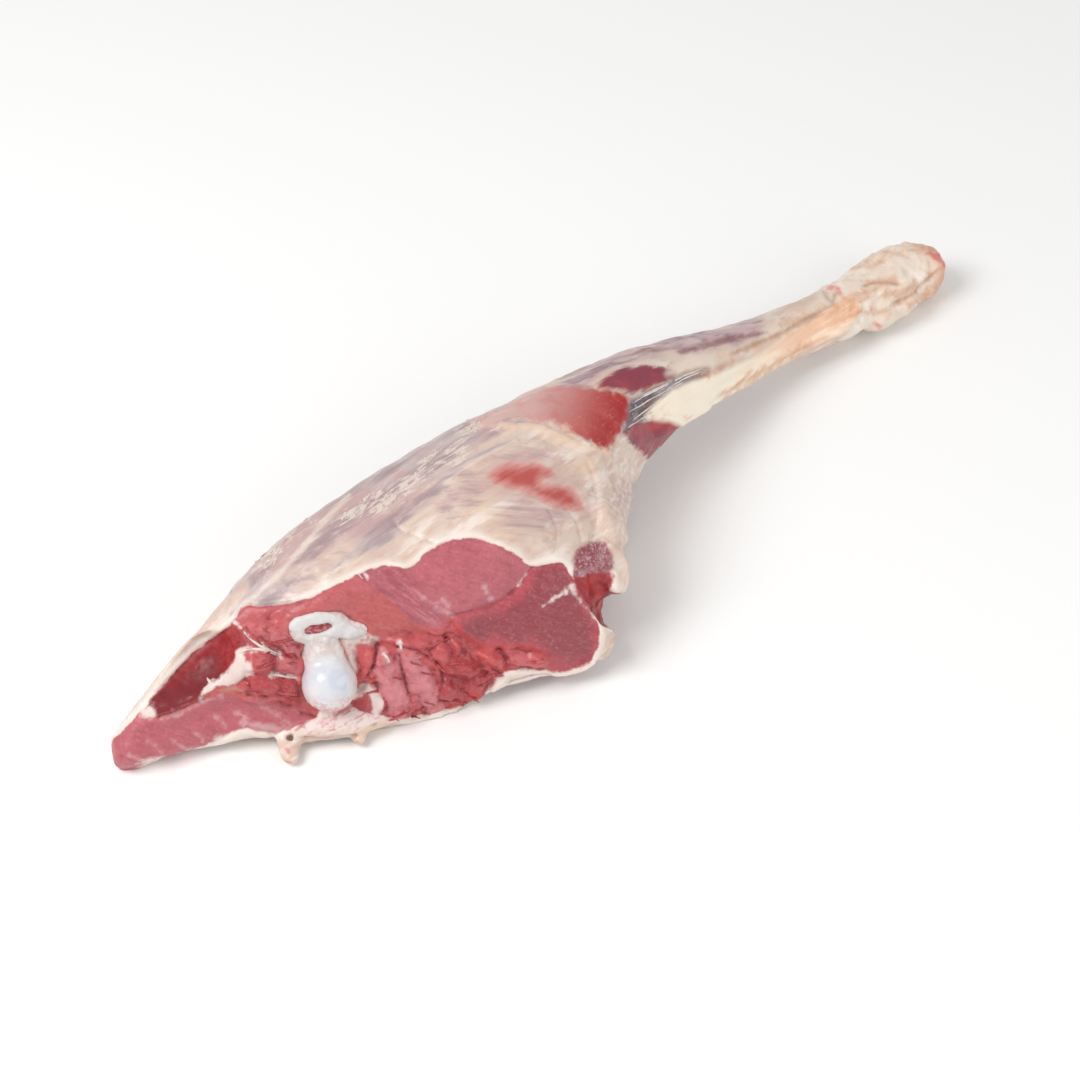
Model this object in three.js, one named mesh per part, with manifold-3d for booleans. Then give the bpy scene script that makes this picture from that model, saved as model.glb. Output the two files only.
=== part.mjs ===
// Raw goat leg: thigh, shank and hock in one piece of meat, with the ball
// end of the femur and its sawn marrow ring standing in the cut face.
// Millimetres, +X from the hip end to the hock, +Z up, resting on z = 0.
import * as THREE from "three";
import { LoftGeometry } from "three/addons/geometries/LoftGeometry.js";
import { mergeVertices } from "three/addons/utils/BufferGeometryUtils.js";
import Module from "manifold-3d";

const wasm = await Module();
wasm.setup();

// ---- driving dimensions --------------------------------------------------

// The limb as cross-sections along X: how far it reaches toward -Y (near)
// and +Y (far), its lowest and highest points, the place of its crest, the
// height of its near side, and how square its near top and the rest are.
const LIMB_SECTIONS = [
  { x: -259, near: 27, far: 40, low: -4, high: 16, crest: 33, waist: 8, shoulder: 2.0, square: 2.0 },
  { x: -243, near: 24, far: 44, low: -6, high: 27, crest: 34, waist: 11, shoulder: 2.0, square: 2.1 },
  { x: -220, near: 18, far: 46, low: -8, high: 43, crest: 34, waist: 13, shoulder: 2.0, square: 2.2 },
  { x: -199, near: 12, far: 48, low: -9, high: 57, crest: 33, waist: 14, shoulder: 2.0, square: 2.2 },
  { x: -183, near: 2, far: 50, low: -10, high: 67, crest: 31, waist: 18, shoulder: 1.9, square: 2.3 },
  { x: -166, near: -23, far: 52, low: -10, high: 75, crest: 30, waist: 22, shoulder: 1.7, square: 2.3 },
  { x: -148, near: -44, far: 54, low: -10, high: 81, crest: 29, waist: 25, shoulder: 1.6, square: 2.3 },
  { x: -115, near: -62, far: 56, low: -10, high: 86, crest: 27, waist: 26, shoulder: 1.5, square: 2.3 },
  { x: -75, near: -70, far: 57, low: -9, high: 90, crest: 22, waist: 26, shoulder: 1.45, square: 2.3 },
  { x: -45, near: -65, far: 57, low: -7, high: 89, crest: 20, waist: 27, shoulder: 1.38, square: 2.3 },
  { x: -20, near: -42, far: 57, low: -3, high: 84, crest: 23, waist: 30, shoulder: 1.5, square: 2.2 },
  { x: 5, near: -14, far: 57, low: 2, high: 79, crest: 26, waist: 36, shoulder: 1.7, square: 2.1 },
  { x: 30, near: 4, far: 57, low: 9, high: 74, crest: 30, waist: 40, shoulder: 1.9, square: 2.0 },
  { x: 55, near: 12, far: 56, low: 15, high: 67, crest: 33, waist: 40, shoulder: 2.0, square: 2.0 },
  { x: 85, near: 18, far: 53, low: 18, high: 57, crest: 35, waist: 37, shoulder: 2.0, square: 2.0 },
  { x: 115, near: 25, far: 50, low: 19, high: 46, crest: 37, waist: 32, shoulder: 2.0, square: 2.0 },
  { x: 145, near: 28, far: 49, low: 17, high: 37, crest: 38, waist: 27, shoulder: 2.0, square: 2.0 },
  { x: 172, near: 26, far: 49, low: 11, high: 32, crest: 37, waist: 21, shoulder: 2.0, square: 2.0 },
  { x: 198, near: 22, far: 51, low: 4, high: 30, crest: 37, waist: 17, shoulder: 2.0, square: 2.1 },
  { x: 225, near: 21, far: 52, low: -1, high: 32, crest: 37, waist: 16, shoulder: 2.0, square: 2.2 },
  { x: 258, near: 20, far: 47, low: -1, high: 30, crest: 34, waist: 14, shoulder: 2.0, square: 2.2 },
];
const LIMB_STEPS = 42;
const LIMB_SIDES = 36;

// How strongly the cross-sections crowd toward the limb's two ends, and over
// how many millimetres each end is rounded off.
const END_CROWDING = 0.7;
const HIP_ROUNDING = 14;
const HOCK_ROUNDING = 16;

// Muscle bellies that swell under the skin: their place along X, the angle
// round the section (90 is the top, 180 the near side), how far each
// spreads along and around, and how much it lifts the surface.
const SWELLS = [
  { name: "calf", x: 14, angle: 118, along: 34, around: 32, rise: 3.2 },
  { name: "shin", x: 60, angle: 98, along: 26, around: 26, rise: 2.0 },
  { name: "heel cord root", x: 62, angle: 165, along: 22, around: 30, rise: 2.2 },
  { name: "round", x: -82, angle: 128, along: 26, around: 26, rise: 6.0 },
  { name: "rump", x: -40, angle: 118, along: 34, around: 34, rise: 2.5 },
  { name: "hollow behind the knee", x: 40, angle: 140, along: 14, around: 20, rise: -2.0 },
  { name: "flank groove", x: -112, angle: 98, along: 60, around: 14, rise: -2.4 },
  { name: "notch under the silverside", x: -92, angle: 228, along: 16, around: 26, rise: -13 },
];

// The cut face at the hip end: a plane through a point on the table, turned
// about Z and leaning back. Pieces of it are placed by their distance along
// it, their height, and how far they stand proud of it.
const FACE_POINT = new THREE.Vector3(-145, -27, 0);
const FACE_TURN = 25;
const FACE_LEAN = 19;

// Cut muscles that bulge from the face: the width and height that show,
// how far the middle stands proud, and the slant within the face. Those of
// the thigh end at its skin.
const THIGH_MUSCLES = [
  { name: "round", along: 39, height: 62, wide: 58, tall: 38, proud: 4, slant: 8 },
  { name: "silverside", along: 73, height: 35, wide: 54, tall: 50, proud: 5, slant: -30 },
  { name: "upper band", along: -24, height: 67, wide: 72, tall: 12, proud: 3, slant: 1 },
  { name: "inner band", along: 8, height: 56, wide: 50, tall: 26, proud: 2.5, slant: -16 },
  { name: "torn bed", along: 20, height: 23, wide: 70, tall: 34, proud: 3, slant: 6 },
];
const HIP_MUSCLES = [
  { name: "upper", along: -52, height: 55, wide: 28, tall: 16, proud: 3, slant: -14 },
  { name: "middle", along: -60, height: 43, wide: 22, tall: 18, proud: 4, slant: 0 },
  { name: "lower", along: -54, height: 31, wide: 28, tall: 17, proud: 5, slant: 10 },
  { name: "gristle", along: -10, height: 18, wide: 15, tall: 13, proud: 5, slant: -35 },
];

// The torn middle of the face: shreds strewn over a patch of it, each drawn
// between the two numbers given.
const SHREDS = {
  count: 17,
  columns: 6,
  along: [-10, 50],
  height: [10, 44],
  placeInCell: [0.1, 0.9],
  long: [11, 23],
  tallShare: [0.35, 0.6],
  proud: [4.5, 7],
  slant: [-62, -2],
  roundness: 9,
  seed: 11,
};

// The cleft between the far wall and the strip, as a path over the face
// (along and height) with its width and its depth each side of the face.
const CLEFT = {
  path: [[-107, 35], [-94, 42], [-80, 49], [-69, 60]],
  wide: [9, 21, 25, 10],
  thick: [16, 30, 36, 18],
};

// The pocket beside the silverside, cut into the near side of the thigh.
const POCKET = { at: [-45, -56, 49], wide: 15, tall: 34, deep: 17, turn: 30 };

// Round-bodied strips: each follows its path with the given widths, and
// with the given thicknesses in the direction "up".
const STRIP = {
  path: [[-258, 34, 9], [-242, 32, 11], [-224, 26, 12], [-203, 18, 12], [-182, 5, 12], [-158, -10, 10]],
  wide: [18, 22, 23, 23, 22, 17],
  thick: [16, 21, 22, 22, 21, 15],
  up: [0, 0, 1],
};
const SHELF = {
  path: [[-190, -1, 8], [-172, -10, 9], [-154, -18, 9], [-138, -24, 8]],
  wide: [14, 20, 20, 12],
  thick: [12, 15, 14, 9],
  up: [0, 0, 1],
};
const TAG_LEFT = {
  path: [[-187, -1, 6], [-192, -9, 5], [-197, -16, 4]],
  wide: [11, 11, 7],
  thick: [8, 7, 5],
  up: [0, 0, 1],
};
const TAG_HOLE = { at: [-189.5, -6.5, 5], radius: 1.9, long: 30, sides: 12 };
const TAG_RIGHT = {
  path: [[-162, -17, 6], [-164, -24, 5], [-165, -28, 4]],
  wide: [13, 8, 4],
  thick: [8, 6, 4],
  up: [0, 0, 1],
};
const FLAP = {
  path: [[-22, -24, 65], [-24, -35, 55], [-26, -42, 42], [-27, -46, 29]],
  wide: [13, 15, 14, 12],
  thick: [8, 9, 8, 5],
  up: [0.6, -0.7, 0.4],
};
const RIM = {
  path: [[-57, -50, 44], [-50, -57, 33], [-49, -60, 21], [-54, -60, 9]],
  wide: [7, 13, 15, 12],
  thick: [7, 10, 11, 9],
  up: [0.45, -0.85, 0.3],
};
const HEEL_CORD = {
  path: [
    [38, 10, 48],
    [70, 16, 40],
    [95, 21, 32],
    [120, 26, 25],
    [146, 28, 21],
    [170, 26, 18],
    [196, 25, 17],
  ],
  wide: [14, 15, 14, 13, 12, 12, 14],
  thick: [10, 10, 10, 10, 9, 9, 10],
  up: [0.2, -0.7, 0.7],
};

// Lumps of the hock: centres and half-sizes.
const HOCK_LUMPS = [
  { name: "front", at: [196, 36, 19], half: [15, 12, 12] },
  { name: "crown", at: [231, 38, 20], half: [17, 13, 12] },
  { name: "heel", at: [245, 33, 17], half: [12, 13, 12] },
  { name: "lobe", at: [208, 27, 12], half: [11, 9, 8] },
  { name: "side", at: [224, 28, 13], half: [16, 10, 9] },
];

// The femur: ball, neck, sawn trochanter with its marrow, spur, and shaft.
// Places on the face are distance along it, height, and how far proud.
const BALL = { along: -28.4, height: 29.4, proud: 3, radius: 12.3 };
const TROCHANTER = { along: -30, height: 55.5, proud: 3.6, wide: 28, tall: 15, deep: 24 };
const SHAFT_ROOT = [-30, 55.5, -12];
const NECK = { bend: [-28.9, 41.4, -2], wide: [19, 19, 19], thick: [17, 13.6, 17] };
const SPUR = {
  path: [[-22, 52, -2], [-14, 51, 0], [-6, 49, 0]],
  wide: [9, 9, 6.3],
  thick: [7, 7, 4.2],
};
const SHAFT = {
  path: [[-155, 14, 47], [-115, 12, 46], [-60, 15, 46], [-12, 22, 44]],
  wide: [22, 20, 18, 18, 26],
  thick: [20, 19, 17, 17, 24],
};
const MARROW = { wide: 15, tall: 5.6, deep: 16, recess: 0.8 };

// How deep a lump's ellipsoid is, in times of the height that shows, and how
// many rings an ellipsoid has for each of its segments.
const LUMP_DEPTH = 1.9;
const RINGS_PER_SEGMENT = 0.6;

// The smallest cross-section of a rounded end, as a share of the full one.
const TIP_SIZE = 0.12;

// Clear distance kept between solids that touch, and the distance within
// which two corners of a mesh are one.
const GAP = 0.3;
const SAME_POINT = 1e-4;

// ---- materials -----------------------------------------------------------

const materials = {
  meat: new THREE.MeshStandardMaterial({ color: "#c98d86", roughness: 0.45, metalness: 0 }),
  bone: new THREE.MeshStandardMaterial({ color: "#d9dde2", roughness: 0.3, metalness: 0 }),
  marrow: new THREE.MeshStandardMaterial({ color: "#8f4a55", roughness: 0.5, metalness: 0 }),
};

// ---- helpers -------------------------------------------------------------

const radians = THREE.MathUtils.degToRad;

/** A closed three.js geometry as a manifold solid. */
function solidOf(geometry) {
  const bare = new THREE.BufferGeometry().copy(geometry);
  bare.deleteAttribute("normal");
  bare.deleteAttribute("uv");
  const merged = mergeVertices(bare, SAME_POINT);
  return new wasm.Manifold(
    new wasm.Mesh({
      numProp: 3,
      vertProperties: new Float32Array(merged.attributes.position.array),
      triVerts: new Uint32Array(merged.index.array),
    }),
  );
}

/** A manifold solid as a named three.js mesh. */
function meshOf(solid, name, material) {
  const { vertProperties, triVerts } = solid.getMesh();
  const geometry = new THREE.BufferGeometry();
  geometry.setAttribute("position", new THREE.BufferAttribute(vertProperties, 3));
  geometry.setIndex(new THREE.BufferAttribute(triVerts, 1));
  geometry.computeVertexNormals();
  const mesh = new THREE.Mesh(geometry, material);
  mesh.name = name;
  return mesh;
}

/** Rows of named numbers over x, as a smooth function of x. */
function smoothRows(rows, keys) {
  const places = rows.map((row) => row.x);
  const values = rows.flatMap((row) => keys.map((key) => row[key]));
  const curve = new THREE.CubicInterpolant(places, values, keys.length);
  return (x) => {
    const found = curve.evaluate(x);
    return Object.fromEntries(keys.map((key, i) => [key, found[i]]));
  };
}

/** A list of numbers as a smooth function of t from 0 to 1. */
function smoothList(numbers) {
  const rows = numbers.map((value, i) => ({ x: i / (numbers.length - 1), value }));
  const at = smoothRows(rows, ["value"]);
  return (t) => at(t).value;
}

/** One quarter of a section, as shares of its reach across and upward. */
function quarterPoint(angle, power) {
  const across = Math.abs(Math.cos(angle)) ** (2 / power);
  const upward = Math.abs(Math.sin(angle)) ** (2 / power);
  return [across, upward];
}

/** How much of its full size a body has this far from a rounded end. */
function endSize(distance, rounding) {
  const inward = Math.min(Math.max(distance / rounding, 0), 1);
  return Math.sqrt(1 - (1 - inward) ** 2);
}

/** A round-ended body along a path, wide across and thick along "up". */
function stripSolid({ path, wide, thick, up, steps = 16, sides = 14, blunt = 1, extra = 0 }) {
  const curve = new THREE.CatmullRomCurve3(path.map((point) => new THREE.Vector3(...point)));
  const wideAt = smoothList(wide);
  const thickAt = smoothList(thick);
  const length = curve.getLength();
  const upward = new THREE.Vector3(...up).normalize();
  const sections = [];
  for (let i = 0; i <= steps; i += 1) {
    const t = (1 - Math.cos((i / steps) * Math.PI)) / 2;
    const centre = curve.getPointAt(t);
    const tangent = curve.getTangentAt(t);
    const across = new THREE.Vector3().crossVectors(upward, tangent).normalize();
    const out = new THREE.Vector3().crossVectors(tangent, across);
    const rounding = (Math.min(wideAt(t), thickAt(t)) / 2) * blunt;
    const nearEnd = Math.min(t, 1 - t) * length;
    const size = Math.max(endSize(nearEnd, rounding), TIP_SIZE);
    const halfWide = (wideAt(t) / 2 + extra) * size;
    const halfThick = (thickAt(t) / 2 + extra) * size;
    const points = [];
    for (let k = 0; k < sides; k += 1) {
      const angle = (k / sides) * 2 * Math.PI;
      points.push(
        centre
          .clone()
          .addScaledVector(across, Math.cos(angle) * halfWide)
          .addScaledVector(out, Math.sin(angle) * halfThick),
      );
    }
    sections.push(points);
  }
  return solidOf(new LoftGeometry(sections, { closed: true, capStart: true, capEnd: true }));
}

/** An ellipsoid of the given half-sizes along three directions. */
function ellipsoidSolid(centre, half, directions, roundness = 18) {
  const place = new THREE.Matrix4().makeBasis(...directions);
  place.scale(new THREE.Vector3(...half));
  place.setPosition(centre);
  const ball = new THREE.SphereGeometry(1, roundness, Math.round(roundness * RINGS_PER_SEGMENT));
  return solidOf(ball.applyMatrix4(place));
}

// ---- the cut face's own directions ---------------------------------------

const turn = radians(FACE_TURN);
const lean = radians(FACE_LEAN);
const faceAlong = new THREE.Vector3(Math.cos(turn), -Math.sin(turn), 0);
const faceOut = new THREE.Vector3(
  -Math.sin(turn) * Math.cos(lean),
  -Math.cos(turn) * Math.cos(lean),
  Math.sin(lean),
);
const faceUp = new THREE.Vector3().crossVectors(faceOut, faceAlong);

/** A point of the cut face, or in front of it where proud is above zero. */
function onFace(along, height, proud = 0) {
  return FACE_POINT.clone()
    .addScaledVector(faceAlong, along)
    .addScaledVector(faceUp, height / Math.cos(lean))
    .addScaledVector(faceOut, proud);
}

/** An ellipsoid set in the face, given by the part of it that shows. */
function faceLump({ along, height, wide, tall, proud, slant }, roundness) {
  const angle = radians(slant);
  const across = faceAlong.clone().applyAxisAngle(faceOut, angle);
  const upward = faceUp.clone().applyAxisAngle(faceOut, angle);
  const deep = proud * LUMP_DEPTH;
  const sunk = deep - proud;
  const shows = Math.sqrt(1 - (sunk / deep) ** 2);
  const half = [wide / 2 / shows, tall / 2 / shows, deep];
  return ellipsoidSolid(onFace(along, height, -sunk), half, [across, upward, faceOut], roundness);
}

// ---- the limb ------------------------------------------------------------

function swellAt(x, angle) {
  return SWELLS.reduce((total, swell) => {
    const along = (x - swell.x) / swell.along;
    const around = (THREE.MathUtils.radToDeg(angle) - swell.angle) / swell.around;
    return total + swell.rise * Math.exp(-(along ** 2) - around ** 2);
  }, 0);
}

function limbSolid() {
  const first = LIMB_SECTIONS[0].x;
  const last = LIMB_SECTIONS[LIMB_SECTIONS.length - 1].x;
  const measures = Object.keys(LIMB_SECTIONS[0]).slice(1);
  const at = smoothRows(LIMB_SECTIONS, measures);
  const sections = [];
  for (let i = 0; i <= LIMB_STEPS; i += 1) {
    const t = i / LIMB_STEPS;
    const eased = t - (END_CROWDING * Math.sin(2 * Math.PI * t)) / (2 * Math.PI);
    const x = THREE.MathUtils.lerp(first, last, eased);
    const row = at(x);
    const ends = endSize(x - first, HIP_ROUNDING) * endSize(last - x, HOCK_ROUNDING);
    const size = Math.max(ends, TIP_SIZE);
    const middle = [(row.far + row.near) / 2, (row.high + row.low) / 2];
    const points = [];
    for (let k = 0; k < LIMB_SIDES; k += 1) {
      const angle = (k / LIMB_SIDES) * 2 * Math.PI;
      const isNear = Math.cos(angle) < 0;
      const isTop = Math.sin(angle) > 0;
      const [across, upward] = quarterPoint(angle, isNear && isTop ? row.shoulder : row.square);
      const side = isNear ? row.near : row.far;
      const y = THREE.MathUtils.lerp(row.crest, side, across);
      const z = THREE.MathUtils.lerp(row.waist, isTop ? row.high : row.low, upward);
      const out = new THREE.Vector2(y - middle[0], z - middle[1]);
      out.setLength(out.length() + swellAt(x, angle)).multiplyScalar(size);
      points.push(new THREE.Vector3(x, middle[0] + out.x, middle[1] + out.y));
    }
    sections.push(points);
  }
  return solidOf(new LoftGeometry(sections, { closed: true, capStart: true, capEnd: true }));
}

// ---- the femur and its marrow --------------------------------------------

const ballCentre = onFace(BALL.along, BALL.height, BALL.proud);
const inward = faceOut.clone().negate();

/** A round-ended oval post driven into the face. */
function facePost({ along, height, proud, wide, tall, deep }, extra = 0) {
  const from = onFace(along, height, proud + extra);
  const to = from.clone().addScaledVector(inward, deep + 2 * extra);
  const bar = {
    path: [from.toArray(), from.clone().lerp(to, 0.5).toArray(), to.toArray()],
    wide: [wide, wide, wide],
    thick: [tall, tall, tall],
    up: faceUp.toArray(),
    steps: 6,
    sides: 20,
    blunt: 0.25,
    extra,
  };
  return stripSolid(bar);
}

function femurSolid(extra = 0) {
  const directions = [faceAlong, faceUp, faceOut];
  const radius = BALL.radius + extra;
  const ball = ellipsoidSolid(ballCentre, [radius, radius, radius], directions, 22);
  const post = facePost(TROCHANTER, extra);
  const up = faceOut.toArray();
  const root = onFace(...SHAFT_ROOT).toArray();
  const neckPath = [ballCentre.toArray(), onFace(...NECK.bend).toArray(), root];
  const neck = stripSolid({ ...NECK, path: neckPath, up, steps: 10, sides: 16, extra });
  const spurPath = SPUR.path.map((place) => onFace(...place).toArray());
  const spur = stripSolid({ ...SPUR, path: spurPath, up, steps: 8, sides: 10, extra });
  const shaftPath = [root, ...SHAFT.path];
  const shaft = stripSolid({ ...SHAFT, path: shaftPath, up: [0, 0, 1], steps: 14, sides: 14, extra });
  return wasm.Manifold.union([ball, post, neck, spur, shaft]);
}

/** The marrow, or the hole for it, which reaches out past the sawn end. */
function marrowSolid(extra = 0, reach = 0) {
  const { wide, tall, deep, recess } = MARROW;
  const proud = TROCHANTER.proud - recess + reach;
  return facePost({ ...TROCHANTER, proud, wide, tall, deep: deep + reach }, extra);
}

// ---- the meat ------------------------------------------------------------

/** Shreds of the torn middle, one to a cell of a loose grid over it. */
function shredSolids() {
  THREE.MathUtils.seededRandom(SHREDS.seed);
  const draw = (low, high) => THREE.MathUtils.lerp(low, high, THREE.MathUtils.seededRandom());
  const { columns } = SHREDS;
  const rows = Math.ceil(SHREDS.count / columns);
  return Array.from({ length: SHREDS.count }, (_, i) => {
    const across = ((i % columns) + draw(...SHREDS.placeInCell)) / columns;
    const upward = (Math.floor(i / columns) + draw(...SHREDS.placeInCell)) / rows;
    const wide = draw(...SHREDS.long);
    const shred = {
      along: THREE.MathUtils.lerp(...SHREDS.along, across),
      height: THREE.MathUtils.lerp(...SHREDS.height, upward),
      wide,
      tall: wide * draw(...SHREDS.tallShare),
      proud: draw(...SHREDS.proud),
      slant: draw(...SHREDS.slant),
    };
    return faceLump(shred, SHREDS.roundness);
  });
}

function cleftSolid() {
  const path = CLEFT.path.map(([along, height]) => onFace(along, height).toArray());
  return stripSolid({ ...CLEFT, path, up: faceOut.toArray(), steps: 12, sides: 16 });
}

function pocketSolid() {
  const angle = radians(POCKET.turn);
  const across = new THREE.Vector3(Math.cos(angle), Math.sin(angle), 0);
  const upward = new THREE.Vector3(0, 0, 1);
  const out = new THREE.Vector3().crossVectors(across, upward);
  const centre = new THREE.Vector3(...POCKET.at);
  const half = [POCKET.wide / 2, POCKET.tall / 2, POCKET.deep / 2];
  return ellipsoidSolid(centre, half, [across, upward, out]);
}

function legSolid() {
  const limb = limbSolid();
  const cutLimb = limb.trimByPlane(inward.toArray(), FACE_POINT.dot(inward));
  const muscles = THIGH_MUSCLES.map((muscle) => faceLump(muscle));
  const hip = HIP_MUSCLES.map((muscle) => faceLump(muscle));
  const bulges = wasm.Manifold.union([...muscles, ...shredSolids()]).intersect(limb);
  const world = [0, 1, 2].map((axis) => new THREE.Vector3().setComponent(axis, 1));
  const lumps = HOCK_LUMPS.map((lump) =>
    ellipsoidSolid(new THREE.Vector3(...lump.at), lump.half, world),
  );
  const body = wasm.Manifold.union([cutLimb, bulges, ...hip, ...lumps]);
  const hollow = cleftSolid().add(pocketSolid());
  const strips = [STRIP, SHELF, TAG_LEFT, TAG_RIGHT, FLAP, RIM, HEEL_CORD].map(stripSolid);
  const { at, radius, long, sides } = TAG_HOLE;
  const hole = new THREE.CylinderGeometry(radius, radius, long, sides);
  hole.rotateX(Math.PI / 2).translate(...at);
  return wasm.Manifold.union([body.subtract(hollow), ...strips])
    .subtract(solidOf(hole))
    .subtract(femurSolid(GAP))
    .trimByPlane([0, 0, 1], 0);
}

// ---- assembly ------------------------------------------------------------

const marrowHole = marrowSolid(GAP, MARROW.recess + GAP);
const femur = femurSolid().subtract(marrowHole);
const goatLeg = new THREE.Group();
goatLeg.add(meshOf(legSolid(), "leg_meat", materials.meat));
goatLeg.add(meshOf(femur, "femur", materials.bone));
goatLeg.add(meshOf(marrowSolid(), "marrow", materials.marrow));

// The origin is put at the middle of the footprint, on the table.
const box = new THREE.Box3().setFromObject(goatLeg, true);
const middle = box.getCenter(new THREE.Vector3());
goatLeg.position.set(-middle.x, -middle.y, -box.min.z);

export default goatLeg;
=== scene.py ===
# A raw goat leg on a pale table: the cut thigh with its bone to the left, the
# hock to the right. Metres, +X from hip to hock, +Z up, resting on z = 0.
import math

import bmesh
import bpy
import numpy as np
from mathutils import Matrix, Vector, noise
from mathutils.bvhtree import BVHTree


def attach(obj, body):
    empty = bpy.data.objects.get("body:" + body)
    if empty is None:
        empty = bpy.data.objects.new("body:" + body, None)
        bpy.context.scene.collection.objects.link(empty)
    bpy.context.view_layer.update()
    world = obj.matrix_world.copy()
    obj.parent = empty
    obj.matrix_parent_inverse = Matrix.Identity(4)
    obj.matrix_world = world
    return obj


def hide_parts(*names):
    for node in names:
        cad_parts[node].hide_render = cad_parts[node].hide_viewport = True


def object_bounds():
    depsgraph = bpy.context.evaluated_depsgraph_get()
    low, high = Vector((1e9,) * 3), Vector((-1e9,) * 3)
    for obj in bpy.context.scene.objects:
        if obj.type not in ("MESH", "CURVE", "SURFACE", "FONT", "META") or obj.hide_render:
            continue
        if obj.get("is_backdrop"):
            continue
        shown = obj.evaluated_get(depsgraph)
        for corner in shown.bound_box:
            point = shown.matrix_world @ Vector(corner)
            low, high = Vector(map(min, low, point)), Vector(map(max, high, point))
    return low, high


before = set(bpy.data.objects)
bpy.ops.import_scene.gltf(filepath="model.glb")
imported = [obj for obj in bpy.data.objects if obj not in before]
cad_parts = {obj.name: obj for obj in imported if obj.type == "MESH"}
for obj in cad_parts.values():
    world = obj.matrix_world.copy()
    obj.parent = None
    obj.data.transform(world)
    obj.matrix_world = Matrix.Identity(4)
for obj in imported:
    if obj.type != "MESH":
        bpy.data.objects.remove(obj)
cad_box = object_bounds()

# ---- the camera, the table and the light ---------------------------------
# The leg is seen from its near side and from half way up, through a long
# lens. It lies on a plain matt white table, in soft light from the left.

PHOTO_SIDE = 1080
SENSOR_MM = 36
LENS_MM = 115.94
VIEW_TURN = math.radians(40.4)
VIEW_RISE = math.radians(45)
VIEW_DISTANCE = 1.6
AIM = Vector((-0.0435, -0.00363, 0.040))
FOCAL_PIXELS = PHOTO_SIDE * LENS_MM / SENSOR_MM
MM_PER_PIXEL = 1000 * VIEW_DISTANCE / FOCAL_PIXELS

TABLE_SIDE = 6.0
TABLE_COLOUR = "#FAFAF9"
ROOM_COLOUR = "#FFFFFF"
ROOM_STRENGTH = 0.56
HAZES_PER_METRE = 30

rightward = Vector((math.cos(VIEW_TURN), -math.sin(VIEW_TURN), 0))
level_ahead = Vector((math.sin(VIEW_TURN), math.cos(VIEW_TURN), 0))
ahead = level_ahead * math.cos(VIEW_RISE) - Vector((0, 0, math.sin(VIEW_RISE)))
upward = rightward.cross(ahead)
eye = AIM - ahead * VIEW_DISTANCE

camera_data = bpy.data.cameras.new("camera")
camera_data.sensor_width = SENSOR_MM
camera_data.lens = LENS_MM
camera_data.clip_end = 20
camera = bpy.data.objects.new("camera", camera_data)
camera.matrix_world = Matrix.Translation(eye) @ Matrix((rightward, upward, -ahead)).transposed().to_4x4()
bpy.context.collection.objects.link(camera)
bpy.context.scene.camera = camera


def linear(hex_colour):
    """A hex sRGB colour as linear red, green, blue and alpha."""
    parts = [int(hex_colour[i : i + 2], 16) / 255 for i in (1, 3, 5)]
    curved = [part / 12.92 if part <= 0.04045 else ((part + 0.055) / 1.055) ** 2.4 for part in parts]
    return (*curved, 1.0)


def add_node(tree, kind, inputs=(), **settings):
    """Adds a node; settings are its properties, inputs its socket values and links."""
    made = tree.nodes.new(kind)
    for name, value in settings.items():
        setattr(made, name, value)
    for key, value in dict(inputs).items():
        if isinstance(value, bpy.types.NodeSocket):
            tree.links.new(value, made.inputs[key])
        else:
            made.inputs[key].default_value = value
    return made


def new_material(name):
    """An empty material, its node tree, and the place on the piece that patterns read."""
    material = bpy.data.materials.new(name)
    material.use_nodes = True
    material.node_tree.nodes.clear()
    coordinates = add_node(material.node_tree, "ShaderNodeTexCoord")
    return material, material.node_tree, coordinates.outputs["Object"]


def close_material(tree, surface):
    """Ends a material with the surface that light meets."""
    skin = add_node(tree, "ShaderNodeBsdfPrincipled", surface)
    add_node(tree, "ShaderNodeOutputMaterial", {"Surface": skin.outputs[0]})


def area_light(name, direction, distance, side, power):
    """A square soft box, that far from the leg, turned to face it."""
    data = bpy.data.lights.new(name, "AREA")
    data.size = side
    data.energy = power
    lamp = bpy.data.objects.new(name, data)
    away = direction.normalized()
    turned = away.to_track_quat("Z", "Y").to_matrix().to_4x4()
    lamp.matrix_world = Matrix.Translation(AIM + away * distance) @ turned
    bpy.context.collection.objects.link(lamp)


to_window = -0.55 * rightward + 0.35 * upward - 0.76 * ahead
to_reflector = 0.80 * rightward + 0.05 * upward - 0.62 * ahead
area_light("window", to_window, distance=1.5, side=0.8, power=14)
area_light("reflector", to_reflector, distance=1.8, side=1.2, power=8)

world = bpy.context.scene.world or bpy.data.worlds.new("room")
bpy.context.scene.world = world
world.use_nodes = True
world.node_tree.nodes.clear()
glow = {"Color": linear(ROOM_COLOUR), "Strength": ROOM_STRENGTH}
room = add_node(world.node_tree, "ShaderNodeBackground", glow)
add_node(world.node_tree, "ShaderNodeOutputWorld", {"Surface": room.outputs[0]})
bpy.context.scene.view_settings.view_transform = "Standard"

# Matt white laminate: even, with a trace of unevenness in its sheen.
laminate, tree, place = new_material("white_laminate")
haze = add_node(tree, "ShaderNodeTexNoise", {"Vector": place, "Scale": HAZES_PER_METRE})
sheen = add_node(tree, "ShaderNodeMapRange", {"Value": haze.outputs[0], "To Min": 0.75, "To Max": 0.9})
surface = {"Base Color": linear(TABLE_COLOUR), "Roughness": sheen.outputs[0], "Specular IOR Level": 0.2}
close_material(tree, surface)

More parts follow.
